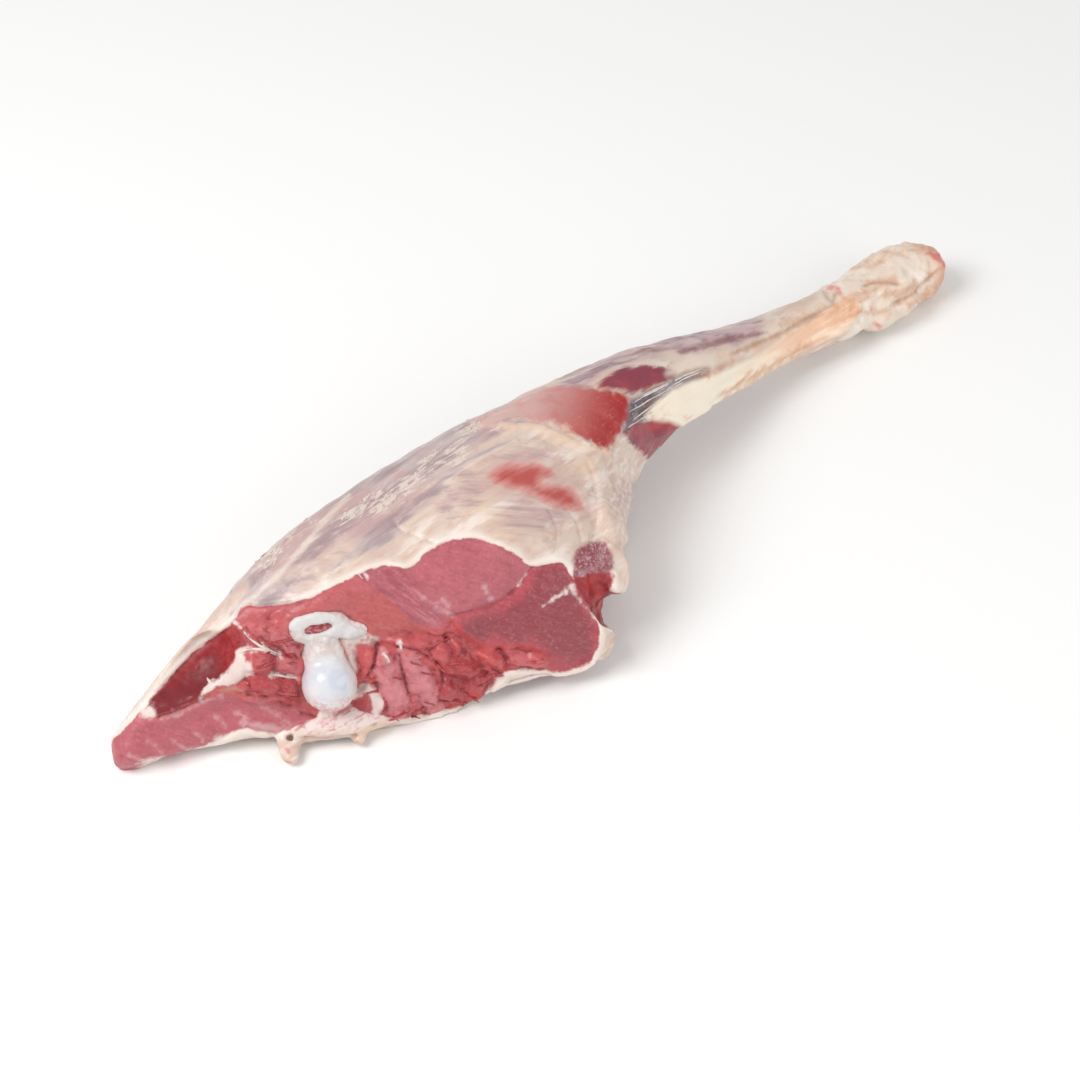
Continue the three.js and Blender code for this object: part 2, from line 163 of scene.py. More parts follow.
half = TABLE_SIDE / 2
table_mesh = bpy.data.meshes.new("table")
table_corners = [(-half, -half, 0), (half, -half, 0), (half, half, 0), (-half, half, 0)]
table_mesh.from_pydata(table_corners, [], [(0, 1, 2, 3)])
table_mesh.materials.append(laminate)
table = bpy.data.objects.new("table", table_mesh)
bpy.context.collection.objects.link(table)
table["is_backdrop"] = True

# ---- the leg -------------------------------------------------------------
# Thigh, shank and hock in one piece: muscle under a thin cover of fat and
# membrane, sawn and torn from the hip. The form is the solid's own, made
# fine, with the muscles' domes, torn chunks, creases and lumps raised on it.

LEG_VOXEL = 0.0010
LEG_TRIANGLES = 196000
JOIN_WITHIN = 1e-6
FAR_MM = 14.0
SEARCH_PIXELS = 34
MM = 0.001

# How far the chunks' borders fray, how deep the valleys between them are, and
# how curved a chunk's top is.
FRAY_PIXELS = 4.5
CHUNK_VALLEY = 2.1
CHUNK_CURVE = 3.4

# In millimetres: how far the fat's lip stands up round the cut, edges are
# slimmed, meat rises to the bone and from how far, the pocket is pushed in,
# and the cut and the pocket lie below the fat.
FAT_LIP = 0.9
SLIM = 2.6
HUG_RISE = 2.2
HUG_REACH = 5.0
RECESS_DEPTH = 7.0
CUT_SINK = 0.5
POCKET_SINK = 0.8

# How far each tissue stands up, or is sunk, in millimetres.
RELIEF = {
    "fascia": 0.5, "wedge": 0.8, "v_fascia": 0.8, "cord": 0.7, "lobe": 0.9, "flap": 1.4, "strand": 0.4,
    "roll": 1.3, "wrinkle": -0.8, "calf": 0.8, "knee": 0.6, "shin_low": 0.7, "seam": -1.1, "groove": -0.9,
    "dark": -1.9, "flank": -0.6,
}

# Rounds of smoothing, over all and where the solid has hard borders, and the
# rounds that tell how hollow a place is; the last smoothing's strength, and
# how strongly the chunks grow straight out of the cut.
SMOOTH_ALL = 5
SMOOTH_CUT = 30
SMOOTH_POCKET = 45
CAVITY_ROUNDS = 8
LAST_SMOOTHING = 0.3
CHUNK_LEAN = 1.4

# Where the shank, the hock, its tip and the orange of the cord start and are
# full, in metres along the leg.
SHANK_STARTS = (0.05, 0.1)
HOCK_STARTS = (0.165, 0.2)
HOCK_TIP_STARTS = (0.232, 0.256)
CORD_TURNS_ORANGE = (0.10, 0.17)

# The line where the flap leaves the fat, and how many millimetres round it are
# smoothed. The calf goes from pale to rich red, from pixel to pixel.
FLAP_ROOT = [(600, 505), (606, 525), (612, 545)]
FLAP_REACH = 9
CALF_START = np.array((500, 398))
CALF_END = np.array((612, 440))

# The plane of the cut, as the direction out of it.
CUT_TURN = math.radians(25)
CUT_LEAN = math.radians(19)
cut_out = np.array([
    -math.sin(CUT_TURN) * math.cos(CUT_LEAN),
    -math.cos(CUT_TURN) * math.cos(CUT_LEAN),
    math.sin(CUT_LEAN),
])

# How high above the table the muscle at the knee ends, and how unevenly, in
# millimetres.
KNEE_LOW_END = 27.0
KNEE_END_RAGGED = 5

# How the flecks of fat thin out toward the border of their place.
FLECKS_RAGGED = 7
FLECKS_DRAWN_IN = 2.2

# Away from the photo: how far past edge-on its tissues reach, and the size
# and share of the muscle and membrane that noise puts there.
PAST_THE_EDGE = 0.12
MM_PER_FACING = 45
FAR_WINDOW_MM = 30
FAR_WINDOW_LEVEL = 0.5
FAR_MEMBRANE_MM = 42
FAR_MEMBRANE_LEVEL = 0.16

# Outlines of what shows, as pixels of the photo: few points, joined by a
# smooth curve. The cut first, then what lies in it.
OUTLINES = {
    "cut": [
        (245, 606), (262, 606), (300, 601), (330, 588), (346, 580), (366, 571), (387, 565), (408, 568),
        (430, 550), (452, 540), (480, 539), (513, 553), (531, 566), (561, 563), (573, 578), (588, 603),
        (597, 620), (599, 642), (592, 659), (573, 669), (545, 672), (510, 669), (500, 677), (486, 693),
        (470, 706), (440, 713), (400, 719), (382, 716), (360, 710), (341, 700), (322, 708), (316, 718),
        (300, 724), (280, 733), (262, 732), (240, 729), (217, 741), (193, 751), (170, 761), (150, 772),
        (110, 775), (104, 755), (118, 734), (140, 712), (157, 692), (186, 660), (207, 642), (232, 623),
    ],
    "round": [
        (404, 570), (430, 550), (452, 536), (480, 534), (513, 549), (531, 566), (524, 580), (514, 591),
        (498, 603), (474, 611), (450, 618), (430, 597),
    ],
    "silverside": [
        (532, 566), (550, 558), (565, 560), (579, 578), (594, 603), (603, 622), (603, 645), (592, 664),
        (560, 674), (546, 660), (530, 649), (490, 647), (465, 637), (452, 620), (474, 611), (498, 603),
        (515, 590), (524, 580),
    ],
    "purple": [
        (358, 571), (385, 562), (404, 568), (423, 588), (447, 618), (443, 629), (425, 626), (399, 611),
        (378, 588),
    ],
    "torn": [
        (355, 643), (375, 640), (400, 634), (440, 630), (452, 620), (465, 637), (490, 647), (530, 649),
        (548, 661), (536, 672), (510, 671), (500, 680), (486, 697), (470, 710), (440, 716), (400, 723),
        (380, 720), (376, 702), (366, 688), (355, 690),
    ],
    "hip": [
        (243, 628), (252, 618), (284, 612), (292, 625), (301, 645), (303, 665), (300, 690), (300, 704),
        (285, 707), (262, 700), (234, 693), (243, 676), (240, 655),
    ],
    "strip": [
        (147, 719), (160, 720), (186, 711), (206, 701), (222, 696), (239, 699), (265, 702), (290, 708),
        (316, 716), (300, 726), (280, 737), (240, 734), (217, 745), (193, 756), (160, 776), (105, 776),
        (104, 750), (125, 730),
    ],
    "cleft": [
        (144, 708), (157, 690), (180, 668), (212, 641), (234, 624), (247, 637), (236, 658), (222, 679),
        (204, 698), (182, 709), (158, 718),
    ],
    "pocket": [
        (574, 572), (590, 568), (607, 570), (611, 582), (612, 591), (640, 591), (642, 610), (636, 624),
        (612, 624), (600, 620), (588, 606), (578, 590),
    ],
    "recess": [(612, 592), (650, 588), (652, 628), (618, 628), (606, 616)],
    "frosted": [(577, 548), (604, 543), (611, 569), (590, 574), (574, 574)],
    "wedge": [
        (237, 651), (244, 655), (252, 672), (235, 684), (215, 688), (200, 701), (208, 683), (220, 678),
        (232, 662),
    ],
    "membrane": [
        (236, 600), (290, 505), (390, 430), (480, 395), (520, 405), (512, 428), (470, 448), (440, 470),
        (425, 498), (398, 522), (385, 545), (345, 550), (300, 566), (262, 606),
    ],
    "veil_low": [(262, 602), (285, 580), (312, 565), (350, 550), (342, 562), (315, 580), (290, 598)],
    "veil_mid": [(432, 492), (462, 474), (490, 478), (478, 502), (446, 515)],
    "veil_rump": [(492, 518), (525, 498), (562, 508), (552, 530), (512, 538)],
    "veil_side": [(612, 500), (622, 484), (636, 486), (632, 508), (620, 516)],
    "calf": [
        (470, 424), (500, 408), (530, 392), (562, 384), (600, 388), (626, 396), (629, 408), (624, 424),
        (612, 446), (600, 449), (582, 443), (565, 430), (545, 423), (515, 421), (490, 428),
    ],
    "shin_low": [
        (598, 388), (612, 373), (640, 366), (672, 369), (676, 376), (655, 387), (634, 393), (616, 390),
    ],
    "knee": [(623, 436), (638, 422), (682, 417), (672, 440), (656, 462), (640, 452)],
    "flank": [
        (487, 474), (500, 464), (520, 461), (540, 462), (556, 470), (552, 476), (544, 480), (554, 483),
        (570, 485), (581, 496), (584, 510), (566, 510), (546, 505), (528, 495), (508, 488), (494, 482),
    ],
    "veil_flank": [(492, 460), (508, 451), (530, 449), (548, 455), (556, 464), (524, 459), (502, 462)],
    "shin": [
        (556, 384), (600, 350), (660, 332), (715, 322), (756, 318), (764, 330), (740, 343), (700, 352),
        (655, 356), (620, 364), (592, 384), (570, 390),
    ],
    "sheath": [
        (627, 404), (640, 396), (658, 388), (680, 376), (708, 366), (704, 378), (682, 389), (660, 403),
        (648, 415), (636, 430), (624, 432),
    ],
    "gristle": [
        (334, 617), (350, 625), (366, 631), (380, 639), (376, 646), (360, 643), (356, 652), (358, 668),
        (352, 672), (346, 650), (340, 636),
    ],
    "shelf": [
        (286, 690), (300, 698), (320, 706), (340, 704), (352, 700), (368, 702), (384, 716), (360, 730),
        (300, 732), (272, 734), (262, 722), (270, 706),
    ],
    "fringe_c": [(141, 706), (149, 703), (157, 714), (152, 720), (142, 716)],
    "fringe_a": [
        (138, 767), (152, 758), (170, 760), (188, 751), (196, 752), (180, 764), (160, 776), (140, 778),
    ],
    "fringe_b": [(207, 745), (220, 737), (236, 732), (250, 730), (244, 738), (222, 748), (208, 751)],
    "shank_pale": [
        (664, 374), (690, 358), (722, 350), (760, 340), (790, 318), (826, 292), (836, 302), (806, 320),
        (770, 342), (738, 358), (708, 368), (684, 374),
    ],
    "flap": [(602, 538), (616, 548), (629, 562), (633, 592), (613, 594), (609, 572), (604, 556)],
    "v_fascia": [
        (366, 683), (376, 689), (383, 703), (379, 717), (373, 712), (371, 701), (364, 694), (355, 699),
        (348, 697), (356, 689),
    ],
    "cord": [
        (644, 416), (674, 388), (704, 377), (750, 357), (800, 325), (835, 303), (850, 298), (862, 308),
        (852, 326), (830, 342), (800, 358), (762, 384), (732, 402), (708, 418), (690, 430), (672, 422),
    ],
    "lobe": [(864, 332), (872, 314), (892, 304), (910, 305), (902, 322), (884, 334)],
    "instep": [(842, 290), (858, 272), (890, 258), (915, 262), (902, 276), (868, 284), (852, 296)],
}

# Thin things that show, and thin strokes of painted shade, as open lines through
# pixels of the photo, with their width in millimetres.
LINES = {
    "fascia": [
        ([(243, 631), (254, 642), (268, 650), (281, 655)], 1.3),
        ([(237, 652), (251, 649), (266, 651), (281, 656)], 1.4),
        ([(268, 674), (284, 676), (300, 679)], 1.0),
        ([(571, 586), (581, 600), (592, 614), (597, 620)], 1.0),
        ([(531, 566), (526, 575), (518, 587)], 0.8), ([(544, 606), (556, 598), (567, 592)], 1.0),
        ([(245, 632), (235, 622)], 1.0), ([(362, 571), (368, 578)], 0.8), ([(399, 640), (401, 650)], 1.2),
        ([(384, 654), (389, 661)], 1.6),
    ],
    "slim": [
        ([(604, 612), (618, 628), (619, 645), (612, 660)], 18.0),
        ([(720, 402), (748, 386), (778, 370), (803, 358), (832, 345)], 12.0),
        ([(515, 686), (530, 682), (545, 680)], 12.0), ([(243, 556), (215, 590), (190, 622)], 12.0),
        ([(627, 548), (632, 570), (630, 596)], 8.0),
    ],
    "flecks": [
        ([(334, 524), (350, 515), (366, 506)], 4.5), ([(370, 504), (395, 493), (414, 482)], 7.0),
        ([(412, 476), (426, 464), (437, 452)], 5.0), ([(437, 462), (450, 455), (464, 448)], 7.0),
        ([(462, 430), (485, 425), (506, 421), (528, 419)], 3.0),
        ([(262, 566), (284, 540), (304, 520)], 3.0),
    ],
    "roll": [([(500, 428), (527, 427), (548, 432), (566, 441), (584, 447), (606, 452)], 3.4)],
    "gleam": [
        ([(150, 742), (160, 752), (166, 760)], 0.9), ([(172, 738), (182, 748), (188, 754)], 0.9),
        ([(196, 732), (204, 742)], 0.8), ([(216, 716), (226, 728)], 0.8), ([(130, 756), (146, 764)], 1.0),
        ([(236, 712), (250, 720), (258, 728)], 1.0), ([(262, 708), (278, 716), (288, 724)], 1.2),
        ([(242, 722), (262, 728), (284, 730)], 3.4),
        ([(160, 720), (184, 712), (204, 702), (222, 697)], 0.8),
        ([(424, 598), (436, 607), (452, 616)], 1.2), ([(443, 600), (448, 606)], 2.2),
        ([(485, 589), (492, 600)], 2.2),
    ],
    "wrinkle": [
        ([(588, 462), (597, 490), (596, 522), (590, 545)], 1.6),
        ([(606, 458), (613, 486), (611, 512)], 1.4),
        ([(622, 474), (628, 498), (626, 520), (632, 548)], 1.6),
        ([(566, 508), (578, 524), (582, 544)], 1.2), ([(548, 510), (556, 524), (556, 540)], 1.0),
        ([(640, 448), (632, 470), (636, 500)], 1.4), ([(520, 440), (540, 438), (556, 446)], 1.2),
        ([(596, 446), (612, 462), (634, 466)], 1.4),
    ],
    "strand": [([(348, 496), (320, 528), (290, 562), (262, 590), (246, 602)], 3.0)],
    "purse": [([(680, 352), (710, 345), (742, 336)], 3.4), ([(744, 337), (768, 332)], 1.8)],
    # Painted shade: dark lines and spots in the gaps between torn chunks, in slits and creases, and along
    # the strip's top edge.
    "dark": [
        ([(378, 646), (373, 664), (363, 683)], 1.5), ([(357, 690), (364, 685)], 2.4),
        ([(437, 662), (444, 678), (441, 690)], 1.0), ([(446, 637), (449, 642)], 1.3),
        ([(500, 652), (507, 658)], 2.0), ([(484, 674), (489, 676)], 2.2), ([(455, 700), (459, 704)], 1.4),
        ([(246, 697), (256, 700), (266, 699)], 1.6), ([(158, 718), (182, 710), (203, 700)], 1.2),
        ([(304, 739), (326, 740), (356, 736)], 1.3), ([(300, 712), (316, 716)], 0.8),
        ([(400, 657), (404, 676), (411, 700)], 0.8), ([(298, 645), (301, 656)], 0.9),
    ],
    "warm": [([(648, 428), (664, 422), (680, 420)], 4.0)],
    "tan": [([(224, 691), (233, 689), (242, 691)], 2.4)],
    # Painted shadow at the cleft's lower left and deep in the pocket.
    "hollow_shadow": [
        ([(148, 714), (170, 700), (192, 688), (210, 674)], 12.0),
        ([(604, 598), (612, 606), (620, 618)], 6.0),
    ],
    "bright": [
        ([(594, 580), (600, 592), (606, 604)], 6.0), ([(276, 616), (280, 632)], 3.0),
        ([(212, 642), (226, 634)], 2.0), ([(140, 713), (150, 712)], 2.0), ([(248, 608), (260, 608)], 3.0),
        ([(452, 622), (463, 637), (488, 648), (532, 650), (546, 660)], 2.6),
        ([(402, 654), (420, 650), (436, 646)], 1.8), ([(447, 708), (462, 702)], 2.6),
        ([(470, 700), (486, 684), (492, 668)], 2.2), ([(478, 652), (492, 664), (500, 668)], 2.0),
        ([(318, 708), (326, 702), (340, 700)], 1.4), ([(356, 703), (370, 703)], 3.0),
        ([(302, 672), (300, 655)], 1.0),
    ],
    # Creases between muscles: sunk, and on the cut darkened as painted shade.
    "seam": [
        ([(531, 567), (524, 580), (514, 591), (498, 603), (474, 611), (450, 617)], 1.1),
        ([(393, 521), (399, 529), (416, 536), (436, 544)], 1.2),
        ([(571, 586), (581, 600), (592, 614)], 1.0),
    ],
    # Grooves, sunk: the brown laid in them is painted shade along the shank, and brown marks where they
    # follow the stains on the hock.
    "groove": [
        ([(735, 352), (775, 336), (806, 320), (832, 305)], 2.2),
        ([(655, 384), (680, 374), (706, 368)], 1.2), ([(640, 412), (660, 396), (690, 382)], 1.0),
        ([(560, 378), (620, 356), (700, 344), (764, 331)], 1.4),
        ([(632, 393), (650, 389), (668, 384)], 1.0), ([(866, 285), (880, 281), (898, 284)], 1.6),
        ([(893, 304), (912, 294), (926, 280), (940, 268)], 1.4),
        ([(824, 292), (832, 300), (836, 292)], 1.4),
    ],
    "stain": [
        ([(724, 396), (752, 380), (780, 362), (808, 346)], 3.4),
        ([(720, 358), (760, 344), (800, 322), (826, 306)], 1.3),
        ([(690, 375), (712, 372), (732, 362)], 1.2), ([(782, 326), (792, 322), (806, 318)], 2.4),
        ([(838, 306), (862, 296), (884, 284), (896, 280)], 4.0),
        ([(868, 266), (884, 256), (910, 249), (936, 250)], 2.0),
        ([(944, 260), (944, 276), (930, 292), (908, 304)], 3.4),
        ([(842, 300), (862, 312), (884, 312)], 2.4), ([(866, 284), (880, 281), (898, 284)], 2.2),
        ([(893, 304), (912, 294), (926, 280), (942, 268)], 1.8),
        ([(884, 253), (910, 250), (934, 247), (944, 262)], 2.4),
        ([(852, 270), (868, 260), (882, 254)], 1.4), ([(826, 318), (846, 306), (862, 310)], 1.0),
        ([(888, 294), (902, 292), (914, 286)], 5.0),
    ],
    "blush": [
        ([(829, 288), (838, 289), (840, 296)], 2.0), ([(469, 485), (471, 486)], 1.2),
        ([(549, 533), (551, 534)], 0.8), ([(286, 764), (293, 768)], 3.0), ([(286, 748), (289, 752)], 1.0),
        ([(356, 742), (358, 748)], 2.0), ([(874, 322), (880, 326)], 2.0), ([(930, 252), (944, 264)], 3.0),
    ],
}

# Chunks of torn and cut muscle: middle pixel, half length and half width in
# pixels, the turn of the long way from the photo's x axis, the rise, and the
# tone from dark red to pale.
CHUNKS = [
    (366, 662, 25, 10, 80, 3.0, 0.0), (393, 689, 34, 13, 66, 3.4, 0.75), (421, 684, 34, 13, 58, 2.6, 0.7),
    (450, 696, 15, 13, 20, 1.8, -0.6), (461, 667, 21, 11, 8, 2.6, -0.7), (494, 661, 13, 8, 35, 2.4, -0.1),
    (474, 690, 15, 11, -30, 2.2, -0.6), (528, 660, 26, 8, 6, 2.6, 0.3), (412, 642, 26, 7, 4, 2.6, 0.1),
    (433, 627, 16, 6, 12, 2.2, 0.2), (441, 655, 10, 9, 40, 1.8, -0.1), (378, 704, 9, 8, 60, 1.6, -0.3),
    (412, 706, 13, 9, 10, 1.8, 0.3), (510, 668, 12, 6, -10, 1.6, -0.5), (270, 632, 30, 9, 30, 2.4, 0.4),
    (288, 648, 12, 8, 40, 2.4, 0.5), (257, 663, 17, 12, 20, 3.2, 0.1), (288, 665, 12, 9, 10, 2.8, 0.4),
    (266, 683, 17, 12, 8, 3.4, -0.6), (291, 691, 13, 10, 25, 3.2, -0.5), (243, 688, 14, 6, -8, 2.0, -0.2),
    (279, 622, 9, 9, 0, 2.4, 0.3), (255, 620, 11, 7, 50, 1.8, 0.2), (238, 640, 8, 8, 0, 1.4, 0.3),
    (284, 701, 16, 5, 14, 1.6, -0.2), (455, 648, 9, 6, 70, 1.6, -0.4),
]


def smooth_path(points, closed=False, steps=6):
    """A smooth curve through a few points, as many short straight steps."""
    spots = np.array(points, float)
    count = len(spots)
    around = (lambda i: spots[i % count]) if closed else (lambda i: spots[min(max(i, 0), count - 1)])
    path = []
    for i in range(count if closed else count - 1):
        before, start, end, after = (around(i + shift) for shift in (-1, 0, 1, 2))
        for t in np.arange(steps) / steps:
            bend = (2 * before - 5 * start + 4 * end - after) * t**2
            turn = (3 * start - before - 3 * end + after) * t**3
            path.append(0.5 * (2 * start + (end - before) * t + bend + turn))
    path.append(spots[0] if closed else spots[-1])
    return np.array(path)


def pixels_of(points):
    """Where points of the leg, in metres, fall in the photo."""
    seen = points - np.array(eye)
    depth = seen @ np.array(ahead)
    across = PHOTO_SIDE / 2 + FOCAL_PIXELS * (seen @ np.array(rightward)) / depth
    down = PHOTO_SIDE / 2 - FOCAL_PIXELS * (seen @ np.array(upward)) / depth
    return np.stack([across, down], axis=1)


def mm_from(pixels, path, inside=False):
    """Millimetres from a path; with inside, positive within it and negative outside."""
    near = np.all((pixels > path.min(0) - SEARCH_PIXELS) & (pixels < path.max(0) + SEARCH_PIXELS), axis=1)
    spots = pixels[near]
    found = np.full(len(spots), FAR_MM / MM_PER_PIXEL)
    within = np.zeros(len(spots), bool)
    for start, end in zip(path, path[1:]):
        step = end - start
        share = np.clip((spots - start) @ step / max(step @ step, JOIN_WITHIN), 0, 1)
        found = np.minimum(found, np.linalg.norm(spots - start - share[:, None] * step, axis=1))
        crosses = (start[1] > spots[:, 1]) != (end[1] > spots[:, 1])
        rise = step[1] if step[1] else 1.0
        within ^= crosses & (spots[:, 0] < start[0] + (spots[:, 1] - start[1]) * step[0] / rise)
    signed = np.where(within, found, -found) if inside else found
    result = np.full(len(pixels), -FAR_MM if inside else FAR_MM)
    result[near] = signed * MM_PER_PIXEL
    return result


def eased(values, low, high):
    """0 below low, 1 above high, and a smooth step between."""
    share = np.clip((values - low) / (high - low), 0, 1)
    return share * share * (3 - 2 * share)


def lumps(points, size_mm, seed, octaves=2, stretch=(1, 1, 1)):
    """Smooth noise from about -1 to 1, with lumps of that size."""
    scaled = points / (size_mm * MM) / np.array(stretch) + seed
    return np.array([noise.fractal(spot, 0.8, 2.0, octaves) for spot in scaled.tolist()])


def relaxed(points, edges, share, rounds):
    """Points drawn toward the mean of their neighbours, each by its own share."""
    ends = edges.ravel()
    others = edges[:, ::-1].ravel()
    count = np.bincount(ends, minlength=len(points))[:, None]
    for _ in range(rounds):
        sums = [np.bincount(ends, points[others, axis], len(points)) for axis in range(3)]
        points = points + (np.stack(sums, axis=1) / count - points) * share[:, None]
    return points


def merged_copy(node_name, piece_name):
    """A node's loose triangles joined into one mesh, as a new object."""
    work = bmesh.new()
    work.from_mesh(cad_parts[node_name].data)
    bmesh.ops.remove_doubles(work, verts=work.verts, dist=JOIN_WITHIN)
    mesh = bpy.data.meshes.new(piece_name)
    work.to_mesh(mesh)
    work.free()
    piece = bpy.data.objects.new(piece_name, mesh)
    bpy.context.collection.objects.link(piece)
    return piece


def settle_modifiers(piece):
    """Makes what the piece's modifiers give its own mesh, and removes them."""
    graph = bpy.context.evaluated_depsgraph_get()
    mesh = bpy.data.meshes.new_from_object(piece.evaluated_get(graph))
    piece.modifiers.clear()
    piece.data = mesh


def remesh(piece, voxel):
    """Gives the piece an even skin of quads of that size."""
    modifier = piece.modifiers.new("even_skin", "REMESH")
    modifier.mode = "VOXEL"
    modifier.voxel_size = voxel
    modifier.use_smooth_shade = True
    settle_modifiers(piece)


def mesh_array(items, key, width, kind=np.float64):
    """A named number of every vertex or edge, as rows."""
    flat = np.empty(len(items) * width, kind)
    items.foreach_get(key, flat)
    return flat.reshape(-1, width)


def set_points(mesh, points):
    """Moves the mesh's vertices to these points."""
    mesh.vertices.foreach_set("co", points.ravel())
    mesh.update()


def keep_field(mesh, name, values):
    """Stores one number for every vertex, for the material to read."""
    attribute = mesh.attributes.new(name, "FLOAT", "POINT")
    attribute.data.foreach_set("value", values.astype(np.float32))


def outline_mm(pixels, name):
    """Millimetres inside a named outline, below zero outside it."""
    return mm_from(pixels, smooth_path(OUTLINES[name], closed=True), inside=True)


def lines_mm(pixels, name):
    """Millimetres inside the nearest of the named lines, below zero outside."""
    return np.max([width / 2 - mm_from(pixels, smooth_path(line)) for line, width in LINES[name]], axis=0)


leg = merged_copy("leg_meat", "leg")
remesh(leg, LEG_VOXEL)
points = mesh_array(leg.data.vertices, "co", 3)
edges = mesh_array(leg.data.edges, "vertices", 2, np.int32)
everywhere = np.ones(len(points))
to_eye = -np.array(ahead)

# The facets and the lumps' hard borders are softened, most on the cut and
# where the flap leaves the fat.
points = relaxed(points, edges, 0.5 * everywhere, SMOOTH_ALL)
pixels = pixels_of(points)
cut_here = eased(outline_mm(pixels, "cut"), -1, 2)
flap_root = eased(FLAP_REACH - mm_from(pixels, smooth_path(FLAP_ROOT)), 0, 4)
points = relaxed(points, edges, 0.5 * np.maximum(cut_here, flap_root), SMOOTH_CUT)
pushed = eased(outline_mm(pixels_of(points), "recess"), -2, 5)
points = points - RECESS_DEPTH * MM * pushed[:, None] * np.array(rightward)
in_pocket = eased(outline_mm(pixels_of(points), "pocket"), -3, 1)
points = relaxed(points, edges, 0.5 * np.maximum(eased(pushed, 0, 0.5), in_pocket), SMOOTH_POCKET)
set_points(leg.data, points)
normals = mesh_array(leg.data.vertices, "normal", 3)
pixels = pixels_of(points)
on_front = eased(normals @ to_eye, -0.3, -0.05)

# Each tissue's place, in millimetres inside its border.
fields = {name: outline_mm(pixels, name) for name in OUTLINES}
for name in LINES:
    fields[name] = lines_mm(pixels, name)
fields["cut"] = np.maximum(fields["cut"], fields["pocket"])
fields["torn"] = np.maximum(fields["torn"], fields["hip"])
torn_here = eased(fields["torn"], -1.5, 2.5) * on_front
cut_here = eased(fields["cut"], -0.8, 0.8) * on_front
hock_here = eased(points[:, 0], *HOCK_STARTS)
shank_here = eased(points[:, 0], *SHANK_STARTS)

# Chunks: domes that meet in sharp valleys, with their borders frayed.
frayed = pixels + FRAY_PIXELS * np.stack([lumps(points, 9, 3.1, 3), lumps(points, 9, 7.7, 3)], axis=1)
chunk_rise = np.full(len(points), -CHUNK_VALLEY)
chunk_tone = np.zeros(len(points))
for across, down, half_long, half_wide, turned, rise, tone in CHUNKS:
    angle = math.radians(turned)
    offset = frayed - (across, down)
    long_way = offset @ (math.cos(angle), math.sin(angle)) / half_long
    wide_way = offset @ (-math.sin(angle), math.cos(angle)) / half_wide
    dome = rise - CHUNK_CURVE * (long_way**2 + wide_way**2)
    higher = dome > chunk_rise
    chunk_rise = np.where(higher, dome, chunk_rise)
    chunk_tone = np.where(higher, tone, chunk_tone)

# The relief of each kind of surface, in millimetres.
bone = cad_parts["femur"].data
corners = [face.vertices[:] for face in bone.polygons]
bone_skin = BVHTree.FromPolygons([corner.co[:] for corner in bone.vertices], corners)
from_bone = np.array([bone_skin.find_nearest(spot)[3] for spot in points.tolist()]) / MM
skin_here = 1 - cut_here
smooth_cut = cut_here * (1 - torn_here)
strings = 0.8 * lumps(points, 3.2, 21.3, 3, (2.2, 1, 1))
height = torn_here * (chunk_rise * eased(from_bone, 0.5, 5) + strings)
height += smooth_cut * (0.5 * lumps(points, 8, 5.5, 3) + 0.15 * lumps(points, 2.5, 3.5) - CUT_SINK)
folds = 0.8 * lumps(points, 24, 9.4) + 0.35 * lumps(points, 5, 2.2, 3, (3, 1, 1))
height += skin_here * (1 - hock_here) * folds
height += shank_here * (1 - hock_here) * 0.4 * lumps(points, 7, 4.3, 3, (6, 1, 1))
height += hock_here * (1.5 * lumps(points, 12, 8.8, 3) + 0.7 * lumps(points, 4.5, 1.7, 3))
height += HUG_RISE * eased(HUG_REACH - from_bone, 0, HUG_REACH) * on_front
height -= SLIM * eased(fields["slim"], 0, 5) * on_front
height += FAT_LIP * np.exp(-(((fields["cut"] + 1.3) / 1.2) ** 2)) * on_front
for name, rise in RELIEF.items():
    height += rise * eased(fields[name], -1.0, 1.0) * on_front
height += eased(fields["pocket"], -0.5, 2.0) * (1.3 * lumps(points, 6, 14.2, 3) - POCKET_SINK)

out = normals + CHUNK_LEAN * torn_here[:, None] * cut_out
out /= np.linalg.norm(out, axis=1)[:, None]
points = points + out * height[:, None] * MM
points = relaxed(points, edges, LAST_SMOOTHING * everywhere, 1)
low, high = (np.array(corner) for corner in cad_box)
points = np.clip(points, low, high)
set_points(leg.data, points)
normals = mesh_array(leg.data.vertices, "normal", 3)
# How hollow each point is, in millimetres: the material darkens creases and hollows by it, as painted
# shade.
evened = relaxed(points, edges, 0.5 * everywhere, CAVITY_ROUNDS)
cavity = ((evened - points) * normals).sum(axis=1) / MM

# On the far side and beneath, the same tissues lie as noise puts them.
facing = normals @ to_eye
far_side = 1 - eased(facing, -0.35, -0.02)
for name in fields:
    fields[name] = np.minimum(fields[name], (facing + PAST_THE_EDGE) * MM_PER_FACING)
above = points[:, 2] / MM - KNEE_LOW_END + KNEE_END_RAGGED * lumps(points, 12, 18.6, 3)
fields["knee"] = np.minimum(fields["knee"], above)
far_window = FAR_WINDOW_MM * (lumps(points, 40, 31.5, 2, (2.4, 1, 1)) - FAR_WINDOW_LEVEL)
far_membrane = FAR_MEMBRANE_MM * (lumps(points, 75, 12.4) + FAR_MEMBRANE_LEVEL)
across_calf = (pixels - CALF_START) @ (CALF_END - CALF_START) / np.sum((CALF_END - CALF_START) ** 2)

